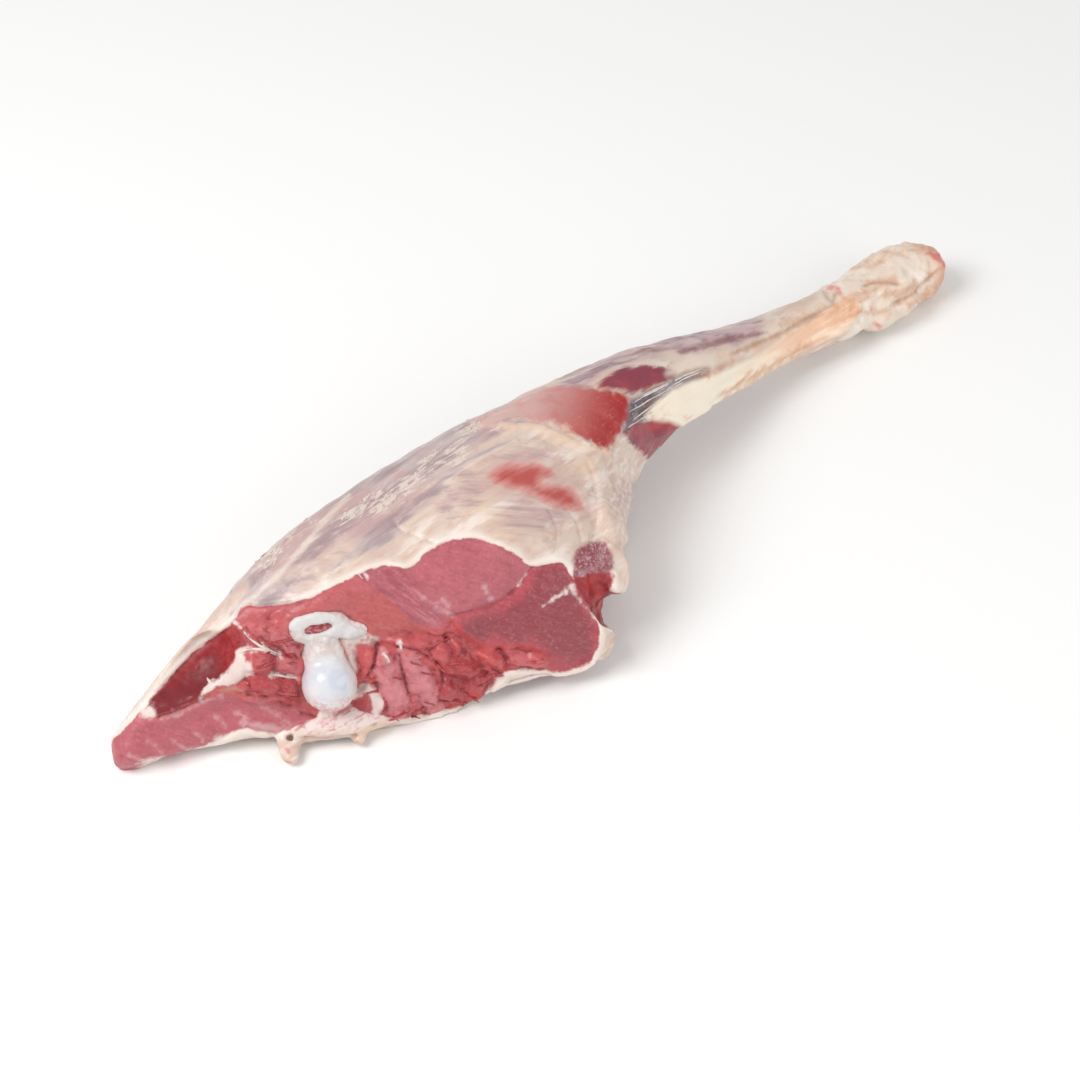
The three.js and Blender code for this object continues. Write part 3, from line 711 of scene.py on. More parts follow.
kept = {name: fields[name] for name in (
    "cut", "round", "silverside", "purple", "torn", "strip", "dark", "bright", "seam", "flecks", "strand",
    "sheath", "cord", "roll", "hollow_shadow", "warm", "tan", "stain", "blush", "groove", "shin", "frosted",
    "purse", "gristle", "shelf", "gleam",
)}
fleck_lumps = FLECKS_RAGGED * lumps(points, 3, 6.6, 3, (3, 1, 1))
kept["flecks"] = fields["flecks"] + fleck_lumps - FLECKS_DRAWN_IN
kept["flank"] = fields["flank"] * (1 - far_side) + far_window * far_side
kept["hollow"] = np.maximum(fields["cleft"], fields["pocket"])
kept["fascia"] = np.max([fields[name] for name in ("fascia", "wedge", "v_fascia")], axis=0)
kept["membrane"] = fields["membrane"] * (1 - far_side) + far_membrane * far_side
kept["veil"] = np.max([fields[name] for name in OUTLINES if name.startswith("veil")], axis=0)
kept["window"] = fields["calf"] * (1 - far_side) - FAR_MM * far_side
kept["wine"] = np.maximum(fields["shin_low"], fields["knee"])
kept["pale"] = np.max([fields[name] for name in ("lobe", "instep", "shank_pale")], axis=0)
kept["fringe"] = np.max([fields[name] for name in OUTLINES if name.startswith("fringe")], axis=0)
kept |= {"rich": across_calf, "tone": chunk_tone, "cavity": cavity, "hock": hock_here}
for name, values in kept.items():
    keep_field(leg.data, name, values)

# Fewer, larger faces where the surface is smooth.
thin_out = leg.modifiers.new("thin_out", "DECIMATE")
thin_out.ratio = min(1.0, LEG_TRIANGLES / (2 * len(leg.data.polygons)))
settle_modifiers(leg)
set_points(leg.data, np.clip(mesh_array(leg.data.vertices, "co", 3), low, high))
leg.data.shade_smooth()

# Raw goat meat: wet red muscle with fine pale marbling, under cream fat and
# a thin lilac membrane that lets the muscle through. Colour comes in layers,
# each let in where its field is above zero, with an uneven border. Some layers
# are painted shade, darker in the creases, gaps, grooves and hollows.
FAT = "#D6BEAE"
FAT_PALE = "#DAC6B7"
FAT_WHITE = "#EFE3DA"
FAT_CREAM = "#EBCFB4"
FAT_PINK = "#C89C91"
FAT_CREASE_SHADE = "#A98073"
VEIL = "#C3A5A2"
MEMBRANE = "#C2B0AF"
MEMBRANE_DARK = "#9E888C"
MEMBRANE_PINK = "#C09E9B"
FLECK = "#E3D3C7"
ROLL = "#E8CBB0"
MUSCLE = "#C0646A"
MUSCLE_ORANGE = "#BF5D5C"
MUSCLE_ROUND = "#BE6670"
MUSCLE_ROUND_LOW = "#AB5663"
MUSCLE_SILVERSIDE = "#96464F"
MUSCLE_SILVERSIDE_EDGE = "#B8505A"
MUSCLE_PURPLE = "#B5616D"
MUSCLE_PURPLE_DARK = "#96495A"
MUSCLE_PURPLE_PALE = "#D9A3A8"
MUSCLE_STRIP = "#B8616A"
CHUNK_DARK = "#A3343A"
CHUNK_MIDDLE = "#C2585B"
CHUNK_LIGHT = "#D0868C"
MUSCLE_DEEP = "#822B36"
MUSCLE_BRIGHT = "#CE4A45"
MUSCLE_PALE = "#D69393"
THREAD = "#EBCFCC"
GLEAM = "#E6C8CA"
PIT_SHADE = "#6E2430"
HOLLOW = "#96222A"
HOLLOW_RED = "#B23D42"
HOLLOW_SHADOW = "#6C1820"
TAN = "#C09884"
FASCIA = "#EBDED8"
WINDOW_RED = "#AC2426"
WINDOW_PALE = "#D8B2AB"
WINDOW_ORANGE = "#CC6A60"
WINDOW_THREAD = "#DBB3A6"
FLANK_PALE = "#D29A92"
FLANK_RED = "#BA4D48"
FLANK_HALO = "#C6A09B"
WINE = "#90394A"
WINE_RED = "#A23C46"
WINE_DARK = "#7C4659"
WINE_WARM = "#B84846"
SHIN = "#C8ACAE"
SHIN_DARK = "#93707A"
SHIN_PALE = "#D9CACA"
PURSE = "#8F606B"
SHEATH = "#94888F"
SHEATH_DARK = "#66555F"
SHEATH_SHINE = "#D9DEE2"
CORD_CREAM = "#F9ECD8"
CORD_ORANGE = "#F1C4A5"
CORD_STREAK = "#D99A72"
HOCK = "#EEE1D2"
HOCK_BROWN = "#CDA27A"
HOCK_PINK = "#E3B29C"
HOCK_TIP = "#DFA282"
STAIN = "#CC8A5C"
GROOVE_BROWN = "#9A6A4C"
BLUSH = "#DA6A66"
PALE = "#E7D6C6"
SHELF = "#EBDAD5"
SHELF_PINK = "#CF9698"
SHELF_RED = "#B4545C"
SINEW_CREAM = "#E6D8D0"
SINEW_PINK = "#C99C97"
FROST_RED = "#954852"
FROST_PINK = "#BD8F95"
FROST = "#DCCCCD"

raw_meat, tree, place = new_material("raw_goat_meat")


def pattern(size_mm, stretch=(1, 1, 1), seed=0.0, turned=(0, 0, 0), detail=3.0):
    """Noise in lumps of that size, drawn out along the piece's axes."""
    sizes = [size_mm * MM * part for part in stretch]
    shift = [-seed * part for part in sizes]
    moved = {"Vector": place, "Location": shift, "Rotation": turned, "Scale": sizes}
    mapped = add_node(tree, "ShaderNodeMapping", moved, vector_type="TEXTURE")
    cloud = {"Vector": mapped.outputs[0], "Scale": 1.0, "Detail": detail, "Roughness": 0.55}
    return add_node(tree, "ShaderNodeTexNoise", cloud).outputs[0]


def grain(across, down, facing):
    """The turn that lays a pattern along a surface, in that direction of the photo."""
    way = across * rightward - down * upward
    way -= ahead * way.dot(Vector(facing)) / ahead.dot(Vector(facing))
    return way.to_track_quat("X", "Z").to_euler()


def stored(name):
    """A number kept for every point of the piece."""
    return add_node(tree, "ShaderNodeAttribute", attribute_name=name).outputs["Fac"]


def tissue(name, ragged, by):
    """Millimetres inside a tissue, with a pattern making its border uneven."""
    swing = add_node(tree, "ShaderNodeMath", {0: by, 1: 2 * ragged, 2: -ragged}, operation="MULTIPLY_ADD")
    total = add_node(tree, "ShaderNodeMath", {0: stored(name), 1: swing.outputs[0]}, operation="ADD")
    return total.outputs[0]


def lay(below, colour, value, low, high, share=1.0):
    """Lays a colour over what is below, more and more as a value goes from low to high."""
    ends = {"Value": value, "From Min": low, "From Max": high, "To Min": 0.0, "To Max": share}
    part = add_node(tree, "ShaderNodeMapRange", ends, interpolation_type="SMOOTHSTEP")
    bottom, top = (linear(tint) if isinstance(tint, str) else tint for tint in (below, colour))
    mixed = add_node(tree, "ShaderNodeMix", {0: part.outputs[0], 6: bottom, 7: top}, data_type="RGBA")
    return mixed.outputs[2]


edge = pattern(4.0, seed=1.0, detail=1.5)
broad = pattern(34, seed=4.0)
blotch = pattern(11, seed=9.0, detail=4.0)
mottle = pattern(4.2, seed=7.0, detail=4.0)
speck = pattern(1.5, seed=2.0, detail=2.0)
long_streaks = pattern(6.5, (9, 1, 1), seed=8.0, detail=5.0)
streaks = pattern(3.0, (8, 1, 1), seed=6.0, detail=5.0)
fine_streaks = pattern(1.2, (6, 1, 1), seed=3.0, detail=4.0)
fibres = pattern(1.5, (7, 1, 1), 5.0, grain(1.0, 0.35, cut_out), 3.0)
threads = pattern(0.8, (16, 1, 1), 11.0, grain(1.0, 0.25, cut_out), 2.0)
bundles = pattern(2.0, (9, 1, 1), 12.0, grain(0.78, 0.62, cut_out), 4.0)
fan = pattern(2.6, (12, 1, 1), 13.0, grain(1.0, 0.08, (0, -0.5, 0.87)), 5.0)
tone = stored("tone")
cavity_mm = stored("cavity")
along = add_node(tree, "ShaderNodeSeparateXYZ", {0: place}).outputs[0]

# Fat, whitest where the knife went through it, with membrane over it.
skin = lay(FAT, FAT_PALE, broad, 0.44, 0.60)
skin = lay(skin, FAT_PINK, blotch, 0.50, 0.72, 0.55)
skin = lay(skin, FAT_PALE, mottle, 0.50, 0.68, 0.45)
skin = lay(skin, VEIL, long_streaks, 0.50, 0.68, 0.3)
skin = lay(skin, FAT_WHITE, long_streaks, 0.48, 0.62, 0.7)
skin = lay(skin, FAT_CREAM, broad, 0.44, 0.32, 0.5)
skin = lay(skin, FAT_PINK, streaks, 0.52, 0.70, 0.35)
skin = lay(skin, FAT_WHITE, tissue("cut", 5.0, broad), -6, -1, 0.85)
veil = lay(VEIL, MEMBRANE_DARK, fan, 0.46, 0.66, 0.6)
skin = lay(skin, veil, tissue("veil", 12, fan), -4, 8, 0.85)
film = lay(MEMBRANE, MEMBRANE_PINK, broad, 0.45, 0.58, 0.8)
film = lay(film, MEMBRANE_DARK, long_streaks, 0.44, 0.66, 0.8)
film = lay(film, FLECK, streaks, 0.52, 0.70, 0.4)
skin = lay(skin, film, tissue("membrane", 18, long_streaks), -7, 5)
skin = lay(skin, FLECK, tissue("strand", 2.5, streaks), -1.2, 1.6, 0.7)
skin = lay(skin, FLECK, tissue("flecks", 10.0, fine_streaks), -2.2, 1.6, 0.75)
shin_film = lay(SHIN, SHIN_DARK, long_streaks, 0.42, 0.66)
shin_film = lay(shin_film, SHIN_PALE, streaks, 0.50, 0.66, 0.6)
skin = lay(skin, shin_film, tissue("shin", 8, long_streaks), -3, 4, 0.95)
skin = lay(skin, PURSE, tissue("purse", 2.4, streaks), -0.8, 1.6, 0.75)
rays = lay(SHEATH, SHEATH_DARK, long_streaks, 0.40, 0.60)
rays = lay(rays, SHEATH_SHINE, fine_streaks, 0.56, 0.70, 0.6)
skin = lay(skin, rays, tissue("sheath", 2.0, broad), -2.0, 2.0)

# Muscle that shows through where there is no fat.
skin = lay(skin, ROLL, tissue("roll", 4.0, mottle), -1.5, 2.0, 0.7)
red = lay(WINDOW_PALE, WINDOW_RED, stored("rich"), 0.05, 1.0)
red = lay(red, WINDOW_ORANGE, blotch, 0.48, 0.7, 0.4)
red = lay(red, WINDOW_THREAD, fine_streaks, 0.56, 0.72, 0.25)
skin = lay(skin, red, tissue("window", 3.5, mottle), -1.6, 2.6)
flank = lay(FLANK_PALE, FLANK_RED, tissue("flank", 4.5, streaks), 0, 6)
skin = lay(skin, FLANK_HALO, tissue("flank", 8, streaks), -9, 0, 0.5)
skin = lay(skin, flank, tissue("flank", 2.6, streaks), -0.9, 1.3, 0.95)
wine = lay(WINE, WINE_RED, blotch, 0.45, 0.6)
wine = lay(wine, WINE_DARK, streaks, 0.46, 0.62, 0.6)
wine = lay(wine, WINE_WARM, tissue("warm", 4.0, streaks), -3, 3, 0.8)
skin = lay(skin, wine, tissue("wine", 3.0, streaks), -1.2, 1.6)

# The heel cord and the hock.
bare = lay(HOCK, HOCK_PINK, blotch, 0.52, 0.72, 0.6)
bare = lay(bare, HOCK_BROWN, mottle, 0.54, 0.68, 0.32)
bare = lay(bare, FAT_WHITE, blotch, 0.48, 0.34, 0.7)
bare = lay(bare, HOCK_TIP, along, *HOCK_TIP_STARTS, 0.7)
skin = lay(skin, bare, stored("hock"), 0.2, 0.9)
cord = lay(CORD_CREAM, CORD_ORANGE, along, *CORD_TURNS_ORANGE)
cord = lay(cord, CORD_CREAM, streaks, 0.42, 0.66, 0.6)
cord = lay(cord, CORD_STREAK, long_streaks, 0.54, 0.68, 0.5)
skin = lay(skin, PALE, tissue("pale", 5, broad), -2, 2, 0.8)
skin = lay(skin, cord, tissue("cord", 2.0, broad), -1.4, 2.0)
skin = lay(skin, STAIN, tissue("stain", 4.0, mottle), -2.4, 2.4, 0.55)
# Brown in the grooves: painted shade along the shank, and brown marks where the grooves follow the stains
# on the hock.
skin = lay(skin, GROOVE_BROWN, tissue("groove", 2.4, blotch), -1.2, 1.6, 0.4)
skin = lay(skin, BLUSH, tissue("blush", 2.0, mottle), -1.0, 1.4, 0.8)
# Painted shade: the fat darkens in its creases and hollows, by how hollow each point is.
skin = lay(skin, FAT_CREASE_SHADE, cavity_mm, 0.12, 0.8, 0.45)

# The cut: each muscle with its own red, and painted shade in its gaps,
# creases and hollows.
cut = lay(MUSCLE, MUSCLE_ORANGE, broad, 0.42, 0.60)
purple = lay(MUSCLE_PURPLE, MUSCLE_PURPLE_DARK, bundles, 0.46, 0.66, 0.6)
purple = lay(purple, MUSCLE_PURPLE_PALE, bundles, 0.46, 0.30, 0.5)
cut = lay(cut, purple, tissue("purple", 5, bundles), -2, 2, 0.9)
rounded = lay(MUSCLE_ROUND, MUSCLE_ROUND_LOW, broad, 0.4, 0.6)
cut = lay(cut, rounded, tissue("round", 1.0, edge), -0.4, 0.6)
side = lay(MUSCLE_SILVERSIDE_EDGE, MUSCLE_SILVERSIDE, tissue("silverside", 9, blotch), 1, 8)
cut = lay(cut, side, tissue("silverside", 1.5, edge), -0.8, 0.8)
cut = lay(cut, MUSCLE_STRIP, tissue("strip", 2.0, edge), -0.8, 0.8)
chunk = lay(CHUNK_DARK, CHUNK_MIDDLE, tone, -1.0, 0.0)
chunk = lay(chunk, CHUNK_LIGHT, tone, 0.0, 1.0)
chunk = lay(chunk, MUSCLE_DEEP, blotch, 0.52, 0.72, 0.45)
chunk = lay(chunk, MUSCLE_BRIGHT, mottle, 0.52, 0.70, 0.4)
cut = lay(cut, chunk, tissue("torn", 4.0, edge), -1.0, 1.0)
cut = lay(cut, MUSCLE_DEEP, mottle, 0.48, 0.74, 0.25)
cut = lay(cut, MUSCLE_PALE, fibres, 0.50, 0.76, 0.15)
cut = lay(cut, MUSCLE_DEEP, fibres, 0.46, 0.28, 0.2)
cut = lay(cut, THREAD, threads, 0.60, 0.78, 0.09)
cut = lay(cut, MUSCLE_PALE, speck, 0.50, 0.74, 0.22)
cut = lay(cut, GLEAM, tissue("gleam", 4.4, mottle), -1.6, 2.4, 0.5)
# The cleft and the pocket: their muscle's deep red, darkened further as painted shade in the recess, and
# darkest as painted shadow at the cleft's lower left and in the pocket.
hollow = lay(HOLLOW, HOLLOW_RED, bundles, 0.42, 0.64, 0.6)
hollow = lay(hollow, HOLLOW_SHADOW, tissue("hollow_shadow", 5.0, mottle), -7, 4, 0.85)
cut = lay(cut, hollow, tissue("hollow", 3.0, edge), -1.5, 2.5, 0.92)
cut = lay(cut, MUSCLE_BRIGHT, tissue("bright", 4.5, mottle), -1.4, 2.4, 0.5)
# Painted shade along the creases between the muscles.
cut = lay(cut, PIT_SHADE, tissue("seam", 1.8, mottle), -0.5, 0.9, 0.35)
# Painted shade: the cut darkens to deep red in its hollows, by how hollow each point is.
cut = lay(cut, MUSCLE_DEEP, cavity_mm, 0.10, 0.8, 0.6)
cut = lay(cut, TAN, tissue("tan", 2.4, mottle), -1.2, 1.4, 0.6)
# Painted shade: dark red in the gaps between chunks, the slits and the creases.
cut = lay(cut, PIT_SHADE, tissue("dark", 3.4, mottle), -0.7, 1.8, 0.65)
shelf = lay(SHELF, SHELF_PINK, mottle, 0.48, 0.68, 0.75)
shelf = lay(shelf, SHELF_RED, streaks, 0.54, 0.66, 0.7)
skin = lay(skin, shelf, tissue("shelf", 5.0, mottle), -1.5, 2.5)
flesh = lay(skin, cut, tissue("cut", 1.5, mottle), -0.5, 0.5)
gristle = lay(SINEW_CREAM, SINEW_PINK, mottle, 0.46, 0.64)
flesh = lay(flesh, gristle, tissue("gristle", 2.0, mottle), -1.0, 1.4, 0.9)
flesh = lay(flesh, FAT_WHITE, tissue("fringe", 4.0, mottle), -1.4, 2.0, 0.85)
frost = lay(FROST_RED, FROST_PINK, mottle, 0.40, 0.66, 0.7)
frost = lay(frost, FROST, speck, 0.48, 0.72, 0.5)
flesh = lay(flesh, frost, tissue("frosted", 2.5, mottle), -1.2, 1.2)
flesh = lay(flesh, FASCIA, tissue("fascia", 3.4, mottle), -0.9, 1.2, 0.85)

# Both muscle and fat have a broken, uneven shine, with little of it in the
# hollows. Red light scatters furthest in flesh.
FLESH_SCATTER = {
    "Subsurface Weight": 0.18, "Subsurface Radius": (1.0, 0.35, 0.25), "Subsurface Scale": 0.003,
}
shine = {"Value": mottle, "From Min": 0.35, "From Max": 0.65, "To Min": 0.28, "To Max": 0.48}
wet = add_node(tree, "ShaderNodeMapRange", shine)
shade = {"Value": stored("hollow"), "From Min": -1.0, "From Max": 2.0, "To Min": 0.14, "To Max": 0.02}
coat = add_node(tree, "ShaderNodeMapRange", shade)
relief = {"Height": streaks, "Strength": 0.3, "Distance": 0.5 * MM}
bump = add_node(tree, "ShaderNodeBump", relief)
relief = {"Height": fibres, "Normal": bump.outputs[0], "Strength": 0.4, "Distance": 0.4 * MM}
bump = add_node(tree, "ShaderNodeBump", relief)
relief = {"Height": speck, "Normal": bump.outputs[0], "Strength": 0.3, "Distance": 0.3 * MM}
bump = add_node(tree, "ShaderNodeBump", relief)
surface = {
    "Base Color": flesh,
    "Roughness": wet.outputs[0],
    "Normal": bump.outputs[0],
    "IOR": 1.4,
    "Coat Weight": coat.outputs[0],
    "Coat Roughness": 0.14,
} | FLESH_SCATTER
close_material(tree, surface)
leg.data.materials.clear()
leg.data.materials.append(raw_meat)

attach(leg, "root")
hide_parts("leg_meat")

# ---- the shreds, the flecks and the sinews ---------------------------------
# Bits of torn muscle stand up where the leg was pulled from the hip, flecks of
# dry fat cling to the membrane, and white strands of sinew lie on the meat.
# Shreds and flecks are one scattered shape each, strands are drawn-out tubes.


def with_sockets(tree, sockets):
    """Gives a geometry tree its named inputs and its output, and returns its input node."""
    for name, kind in sockets.items():
        tree.interface.new_socket(name, in_out="INPUT", socket_type="NodeSocket" + kind)
    tree.interface.new_socket("Geometry", in_out="OUTPUT", socket_type="NodeSocketGeometry")
    return add_node(tree, "NodeGroupInput")


def shaken(tree, geometry, lumps_per_metre, detail, by):
    """Geometry with its points moved by smooth noise, and the noise."""
    cloud = add_node(tree, "ShaderNodeTexNoise", {"Scale": lumps_per_metre, "Detail": detail})
    centred = {0: cloud.outputs["Color"], 1: (0.5, 0.5, 0.5)}
    middle = add_node(tree, "ShaderNodeVectorMath", centred, operation="SUBTRACT")
    shift = add_node(tree, "ShaderNodeVectorMath", {0: middle.outputs[0], "Scale": by}, operation="SCALE")
    moved = add_node(tree, "GeometryNodeSetPosition", {"Geometry": geometry, "Offset": shift.outputs[0]})
    return moved.outputs[0], cloud.outputs[0]


def end_tree(tree, geometry, finish):
    """Ends a tree with smooth faces in their material."""
    smooth = add_node(tree, "GeometryNodeSetShadeSmooth", {"Geometry": geometry})
    clad = {"Geometry": smooth.outputs[0], "Material": finish}
    dressed = add_node(tree, "GeometryNodeSetMaterial", clad)
    add_node(tree, "NodeGroupOutput", {"Geometry": dressed.outputs[0]})


# How fine the bits' crumples are, and their least and greatest size against
# the size that is asked for.
CRUMPLES_PER_METRE = 420.0
SMALLEST_BIT = 0.35
LARGEST_BIT = 1.2

scatter = bpy.data.node_groups.new("scattered_bits", "GeometryNodeTree")
sockets = {
    "Geometry": "Geometry", "Place": "String", "Per Square Metre": "Float", "Size": "Vector",
    "Lie Along": "Vector", "Spread": "Float", "Roughness": "Float", "Seed": "Int", "Finish": "Material",
}
given = with_sockets(scatter, sockets).outputs
field = add_node(scatter, "GeometryNodeInputNamedAttribute", {"Name": given["Place"]}, data_type="FLOAT")
ends = {"Value": field.outputs[0], "From Min": 0.5, "From Max": 3.0, "To Max": given["Per Square Metre"]}
crowd = add_node(scatter, "ShaderNodeMapRange", ends)
spots = {"Mesh": given["Geometry"], "Density": crowd.outputs[0], "Seed": given["Seed"]}
strewn = add_node(scatter, "GeometryNodeDistributePointsOnFaces", spots)
laid = {"Rotation": strewn.outputs["Rotation"], "Vector": given["Lie Along"]}
lying = add_node(scatter, "FunctionNodeAlignRotationToVector", laid, axis="X", pivot_axis="Z")
negative = add_node(scatter, "ShaderNodeMath", {0: given["Spread"], 1: -1.0}, operation="MULTIPLY")
swing = {2: negative.outputs[0], 3: given["Spread"], "Seed": given["Seed"]}
turn = add_node(scatter, "FunctionNodeRandomValue", swing, data_type="FLOAT")
about = add_node(scatter, "ShaderNodeCombineXYZ", {"Z": turn.outputs[1]})
spin = add_node(scatter, "FunctionNodeEulerToRotation", {0: about.outputs[0]})
turned = {"Rotation": lying.outputs[0], "Rotate By": spin.outputs[0]}
aimed = add_node(scatter, "FunctionNodeRotateRotation", turned, rotation_space="LOCAL")
spans = {2: SMALLEST_BIT, 3: LARGEST_BIT, "Seed": given["Seed"]}
sizes = add_node(scatter, "FunctionNodeRandomValue", spans, data_type="FLOAT")
sized = {0: given["Size"], "Scale": sizes.outputs[1]}
each = add_node(scatter, "ShaderNodeVectorMath", sized, operation="SCALE")
blob = add_node(scatter, "GeometryNodeMeshIcoSphere", {"Radius": 0.5, "Subdivisions": 2})
bits = {
    "Points": strewn.outputs["Points"], "Instance": blob.outputs["Mesh"], "Rotation": aimed.outputs[0],
    "Scale": each.outputs[0],
}
placed = add_node(scatter, "GeometryNodeInstanceOnPoints", bits)
real = add_node(scatter, "GeometryNodeRealizeInstances", {"Geometry": placed.outputs[0]})
bent, _ = shaken(scatter, real.outputs[0], CRUMPLES_PER_METRE, 2.0, given["Roughness"])
end_tree(scatter, bent, given["Finish"])


def grown(name, source, tree, values):
    """A new piece: what a geometry tree makes of a mesh, kept within the solids' box."""
    piece = bpy.data.objects.new(name, source.copy())
    bpy.context.collection.objects.link(piece)
    modifier = piece.modifiers.new(name, "NODES")
    modifier.node_group = tree
    for item in tree.interface.items_tree:
        if item.in_out == "INPUT" and item.name in values:
            modifier[item.identifier] = values[item.name]
    settle_modifiers(piece)
    set_points(piece.data, np.clip(mesh_array(piece.data.vertices, "co", 3), low, high))
    return piece


# Torn muscle: wet, bright red and fibrous.
SHRED = "#A83C40"
SHRED_RED = "#C66264"
SHRED_PALE = "#D89A96"

torn_muscle, tree, place = new_material("torn_muscle")
mottle = pattern(5.0, seed=3.0, detail=4.0)
speck = pattern(1.3, seed=8.0)
shred = lay(SHRED, SHRED_RED, mottle, 0.40, 0.64)
shred = lay(shred, SHRED_PALE, speck, 0.54, 0.72, 0.3)
bump = add_node(tree, "ShaderNodeBump", {"Height": speck, "Strength": 0.5, "Distance": 0.3 * MM})
surface = {
    "Base Color": shred,
    "Roughness": 0.36,
    "Normal": bump.outputs[0],
    "IOR": 1.4,
} | FLESH_SCATTER
close_material(tree, surface)

shred_values = {
    "Place": "torn", "Per Square Metre": 15000.0, "Size": (11.0 * MM, 1.3 * MM, 0.9 * MM),
    "Lie Along": (0.75, -0.1, -0.65), "Spread": 0.6, "Roughness": 2.4 * MM, "Seed": 11,
    "Finish": torn_muscle,
}
shreds = grown("muscle_shreds", leg.data, scatter, shred_values)
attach(shreds, "root")
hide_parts("leg_meat")

# Flecks of fat: cream, matt and half dry, thin enough to lie flat.
DRY_FAT = "#CFBBB0"
DRY_FAT_PALE = "#E0D2C8"

dry_fat, tree, place = new_material("dry_fat")
mottle = pattern(3.0, seed=5.0)
fleck = lay(DRY_FAT, DRY_FAT_PALE, mottle, 0.42, 0.60)
surface = {"Base Color": fleck, "Roughness": 0.55, "Subsurface Weight": 0.1, "Subsurface Scale": 0.002}
close_material(tree, surface)

fleck_values = {
    "Place": "flecks", "Per Square Metre": 900000.0, "Size": (2.9 * MM, 0.9 * MM, 0.6 * MM),
    "Lie Along": (1.0, 0.1, 0.0), "Spread": 0.5, "Roughness": 1.6 * MM, "Seed": 5,
    "Finish": dry_fat,
}
flecks = grown("fat_flecks", leg.data, scatter, fleck_values)
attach(flecks, "root")
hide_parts("leg_meat")

# Strands of sinew, each from pixel to pixel of the photo, with its width in
# millimetres. Each lies on the nearest point of the leg that shows there,
# where ten millimetres of depth count as one pixel to the side.
STRAND_STEP = 0.0012
STRAND_SIDES = 7
STRAND_BLUNTNESS = 0.4
SWAYS_PER_METRE = 220.0
LINE_SMOOTHING = 4
SEEN_FACING = 0.05
DEPTH_PER_PIXEL = 10
STRANDS = [
    ([(243, 631), (254, 642), (268, 650), (281, 655)], 1.5),
    ([(238, 652), (251, 649), (266, 651), (278, 655)], 1.3), ([(264, 674), (284, 676), (298, 679)], 1.2),
    ([(384, 653), (390, 663)], 1.8), ([(398, 638), (402, 651)], 1.2), ([(356, 570), (364, 580)], 1.0),
    ([(206, 676), (211, 684)], 1.6), ([(632, 404), (655, 391), (694, 371)], 0.9),
    ([(630, 412), (652, 398), (684, 382)], 0.7), ([(632, 421), (650, 407), (672, 393)], 0.8),
    ([(640, 397), (668, 383), (704, 367)], 0.8), ([(627, 428), (640, 420), (654, 411)], 0.7),
    ([(668, 388), (690, 376), (712, 368)], 0.7),
]

strands = bpy.data.node_groups.new("drawn_strands", "GeometryNodeTree")
sockets = {"Geometry": "Geometry", "Step": "Float", "Wander": "Float", "Finish": "Material"}
given = with_sockets(strands, sockets).outputs
drawn = add_node(strands, "GeometryNodeMeshToCurve", {"Mesh": given["Geometry"]})
even = {"Curve": drawn.outputs[0], "Length": given["Step"]}
evened = add_node(strands, "GeometryNodeResampleCurve", even, mode="LENGTH")
wavy, sway = shaken(strands, evened.outputs[0], SWAYS_PER_METRE, 3.0, given["Wander"])
width = add_node(strands, "GeometryNodeInputNamedAttribute", {"Name": "half_width"}, data_type="FLOAT")
share = add_node(strands, "GeometryNodeSplineParameter").outputs["Factor"]
rest = add_node(strands, "ShaderNodeMath", {0: 1.0, 1: share}, operation="SUBTRACT")
hump = add_node(strands, "ShaderNodeMath", {0: share, 1: rest.outputs[0]}, operation="MULTIPLY")
blunt = {0: hump.outputs[0], 1: STRAND_BLUNTNESS}
full = add_node(strands, "ShaderNodeMath", blunt, operation="POWER")
uneven = {"Value": sway, "From Min": 0.35, "From Max": 0.65, "To Min": 0.9, "To Max": 2.2}
swell = add_node(strands, "ShaderNodeMapRange", uneven)
tapered = {0: full.outputs[0], 1: swell.outputs[0]}
taper = add_node(strands, "ShaderNodeMath", tapered, operation="MULTIPLY")
thick = {0: taper.outputs[0], 1: width.outputs[0]}
radius = add_node(strands, "ShaderNodeMath", thick, operation="MULTIPLY")
ring = add_node(strands, "GeometryNodeCurvePrimitiveCircle", {"Resolution": STRAND_SIDES, "Radius": 1.0})
tube = {
    "Curve": wavy, "Profile Curve": ring.outputs["Curve"], "Scale": radius.outputs[0], "Fill Caps": True,
}
tubes = add_node(strands, "GeometryNodeCurveToMesh", tube)
whole = add_node(strands, "GeometryNodeRealizeInstances", {"Geometry": tubes.outputs[0]})
end_tree(strands, whole.outputs[0], given["Finish"])

points = mesh_array(leg.data.vertices, "co", 3)
normals = mesh_array(leg.data.vertices, "normal", 3)
seen = np.nonzero(normals @ to_eye > SEEN_FACING)[0]
seen_pixels = pixels_of(points[seen])
near_first = -points[seen] @ to_eye / MM / DEPTH_PER_PIXEL
line_mesh = bpy.data.meshes.new("strand_lines")
line_spots, line_edges, half_widths = [], [], []
for line, width_mm in STRANDS:
    path = smooth_path(line)
    first = len(line_spots)
    away = [np.linalg.norm(seen_pixels - spot, axis=1) + near_first for spot in path]
    found = points[seen[np.argmin(away, axis=1)]]
    for _ in range(LINE_SMOOTHING):
        found[1:-1] = (found[:-2] + found[1:-1] + found[2:]) / 3
    line_spots += found.tolist()
    half_widths += [width_mm * MM / 2] * len(found)
    line_edges += [(i, i + 1) for i in range(first, len(line_spots) - 1)]
line_mesh.from_pydata(line_spots, line_edges, [])
keep_field(line_mesh, "half_width", np.array(half_widths))

# Sinew: white with a pink cast, smooth, wet and half see-through.
STRAND_WHITE = "#E9DCD6"
STRAND_PINK = "#C9A8A6"

sinew, tree, place = new_material("white_sinew")
mottle = pattern(3.5, (3, 1, 1), seed=6.0)
band = lay(STRAND_WHITE, STRAND_PINK, mottle, 0.48, 0.68, 0.8)
surface = {"Base Color": band, "Roughness": 0.34, "Subsurface Weight": 0.25, "Subsurface Scale": 0.002}
close_material(tree, surface)

